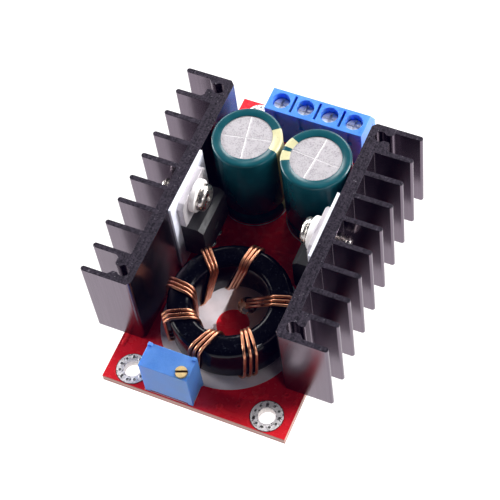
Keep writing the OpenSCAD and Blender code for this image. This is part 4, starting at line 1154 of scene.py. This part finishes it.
# one chip with wrapped metal ends, copied to each of its places
def makeChips(name, kind, finish, slot, node):
    w, d, h = underLook[kind]["size"]
    body = w / 2 - underLook[kind]["end"]
    chip = startBlock(name + "Start", (-w / 2, -d / 2, -h), (w / 2, d / 2, 0))
    for s in (-1, 1):
        editMesh(chip)
        bpy.ops.mesh.bisect(plane_co=(s * body * mm, 0, 0), plane_no=(1, 0, 0))
    pickFaces(chip, lambda face: abs(face.center.x) < body * mm)
    waist = {"value": -underLook["proud"] * mm}  # the ends stand a little proud
    bpy.ops.mesh.extrude_region_shrink_fatten(TRANSFORM_OT_shrink_fatten=waist)
    release()
    dress(chip, finish, leadTin)
    soften(chip, underLook["chipEdge"], 2, 40)
    paintFaces(chip, 1, lambda face: abs(face.center.x) > (body - 0.01) * mm)
    row = []
    for x, y, turn in underLook[kind]["places"]:
        row.append(setDown(copyPiece(chip, name), (x, y, under), (0, 0, turn)))
    discard(chip)
    fit(joinPieces(*row, name=name), slot, node)


# solder round a lead of radius r
def makeJoint(x, y, r):
    fillet = [(r + out, z) for out, z in underLook["fillet"]]
    return turnPiece("joint", [(0, 0)] + fillet + [(0, fillet[-1][1])], 32, (x, y, under), 55)


def makeSolder():
    sides, pins = (-1, 1), (-1, 0, 1)
    x, y, out = capLook["x"], capLook["y"], capLook["leadOut"]
    joints = [makeJoint(s * x + e * out, y, capLook["solderR"]) for s in sides for e in sides]
    x, y = trimLook["pinsAt"]
    joints += [makeJoint(x + i * trimLook["pinPitch"], y, trimLook["solderR"]) for i in pins]
    joints += [makeJoint(x, blockLook["pinY"], blockLook["solderR"]) for x in blockLook["pinX"]]
    x, pitch = deviceLook["leadX"], deviceLook["leadPitch"]
    joints += [makeJoint(s * x, i * pitch, deviceLook["solderR"]) for s in sides for i in pins]
    joints += makeDomes("joint", coilLook["underDome"], under)
    w, t = underLook["railW"], underLook["railT"]
    rails = [flatLine("rail", line, w, t, under) for line in underLook["rails"]]
    finishPiece(joinPieces(*rails, name="solderRails"), solder, "solder")
    finishPiece(joinPieces(*joints, name="solderJoints"), solder, "solder", "solder_joints")


def makeUnderside():
    chip = copyNode("controller_chip", "controllerChip")
    soften(chip, underLook["controllerEdge"])
    r, t = underLook["pinMarkR"], underLook["pinMarkT"]
    cutWith(chip, turnPiece("pinMarkTool", [(0, -1), (r, -1), (r, t), (0, t)], 32, underLook["pinMarkAt"]))
    finishPiece(chip, chipBlack, "chip_black", "controller_chip")
    dressNode("controller_leads", "controllerLegs", underLook["legEdge"], leadTin, "tinned_lead")
    makeChips("chipResistors", "resistor", chipBlack, "chip_black", "chip_resistors")
    makeChips("senseResistors", "sense", chipBlack, "chip_black", "sense_resistors")
    makeChips("chipCapacitors", "capacitor", chipTan, "chip_tan", "chip_capacitors")
    makeSolder()


makeUnderside()
print("underside ready")
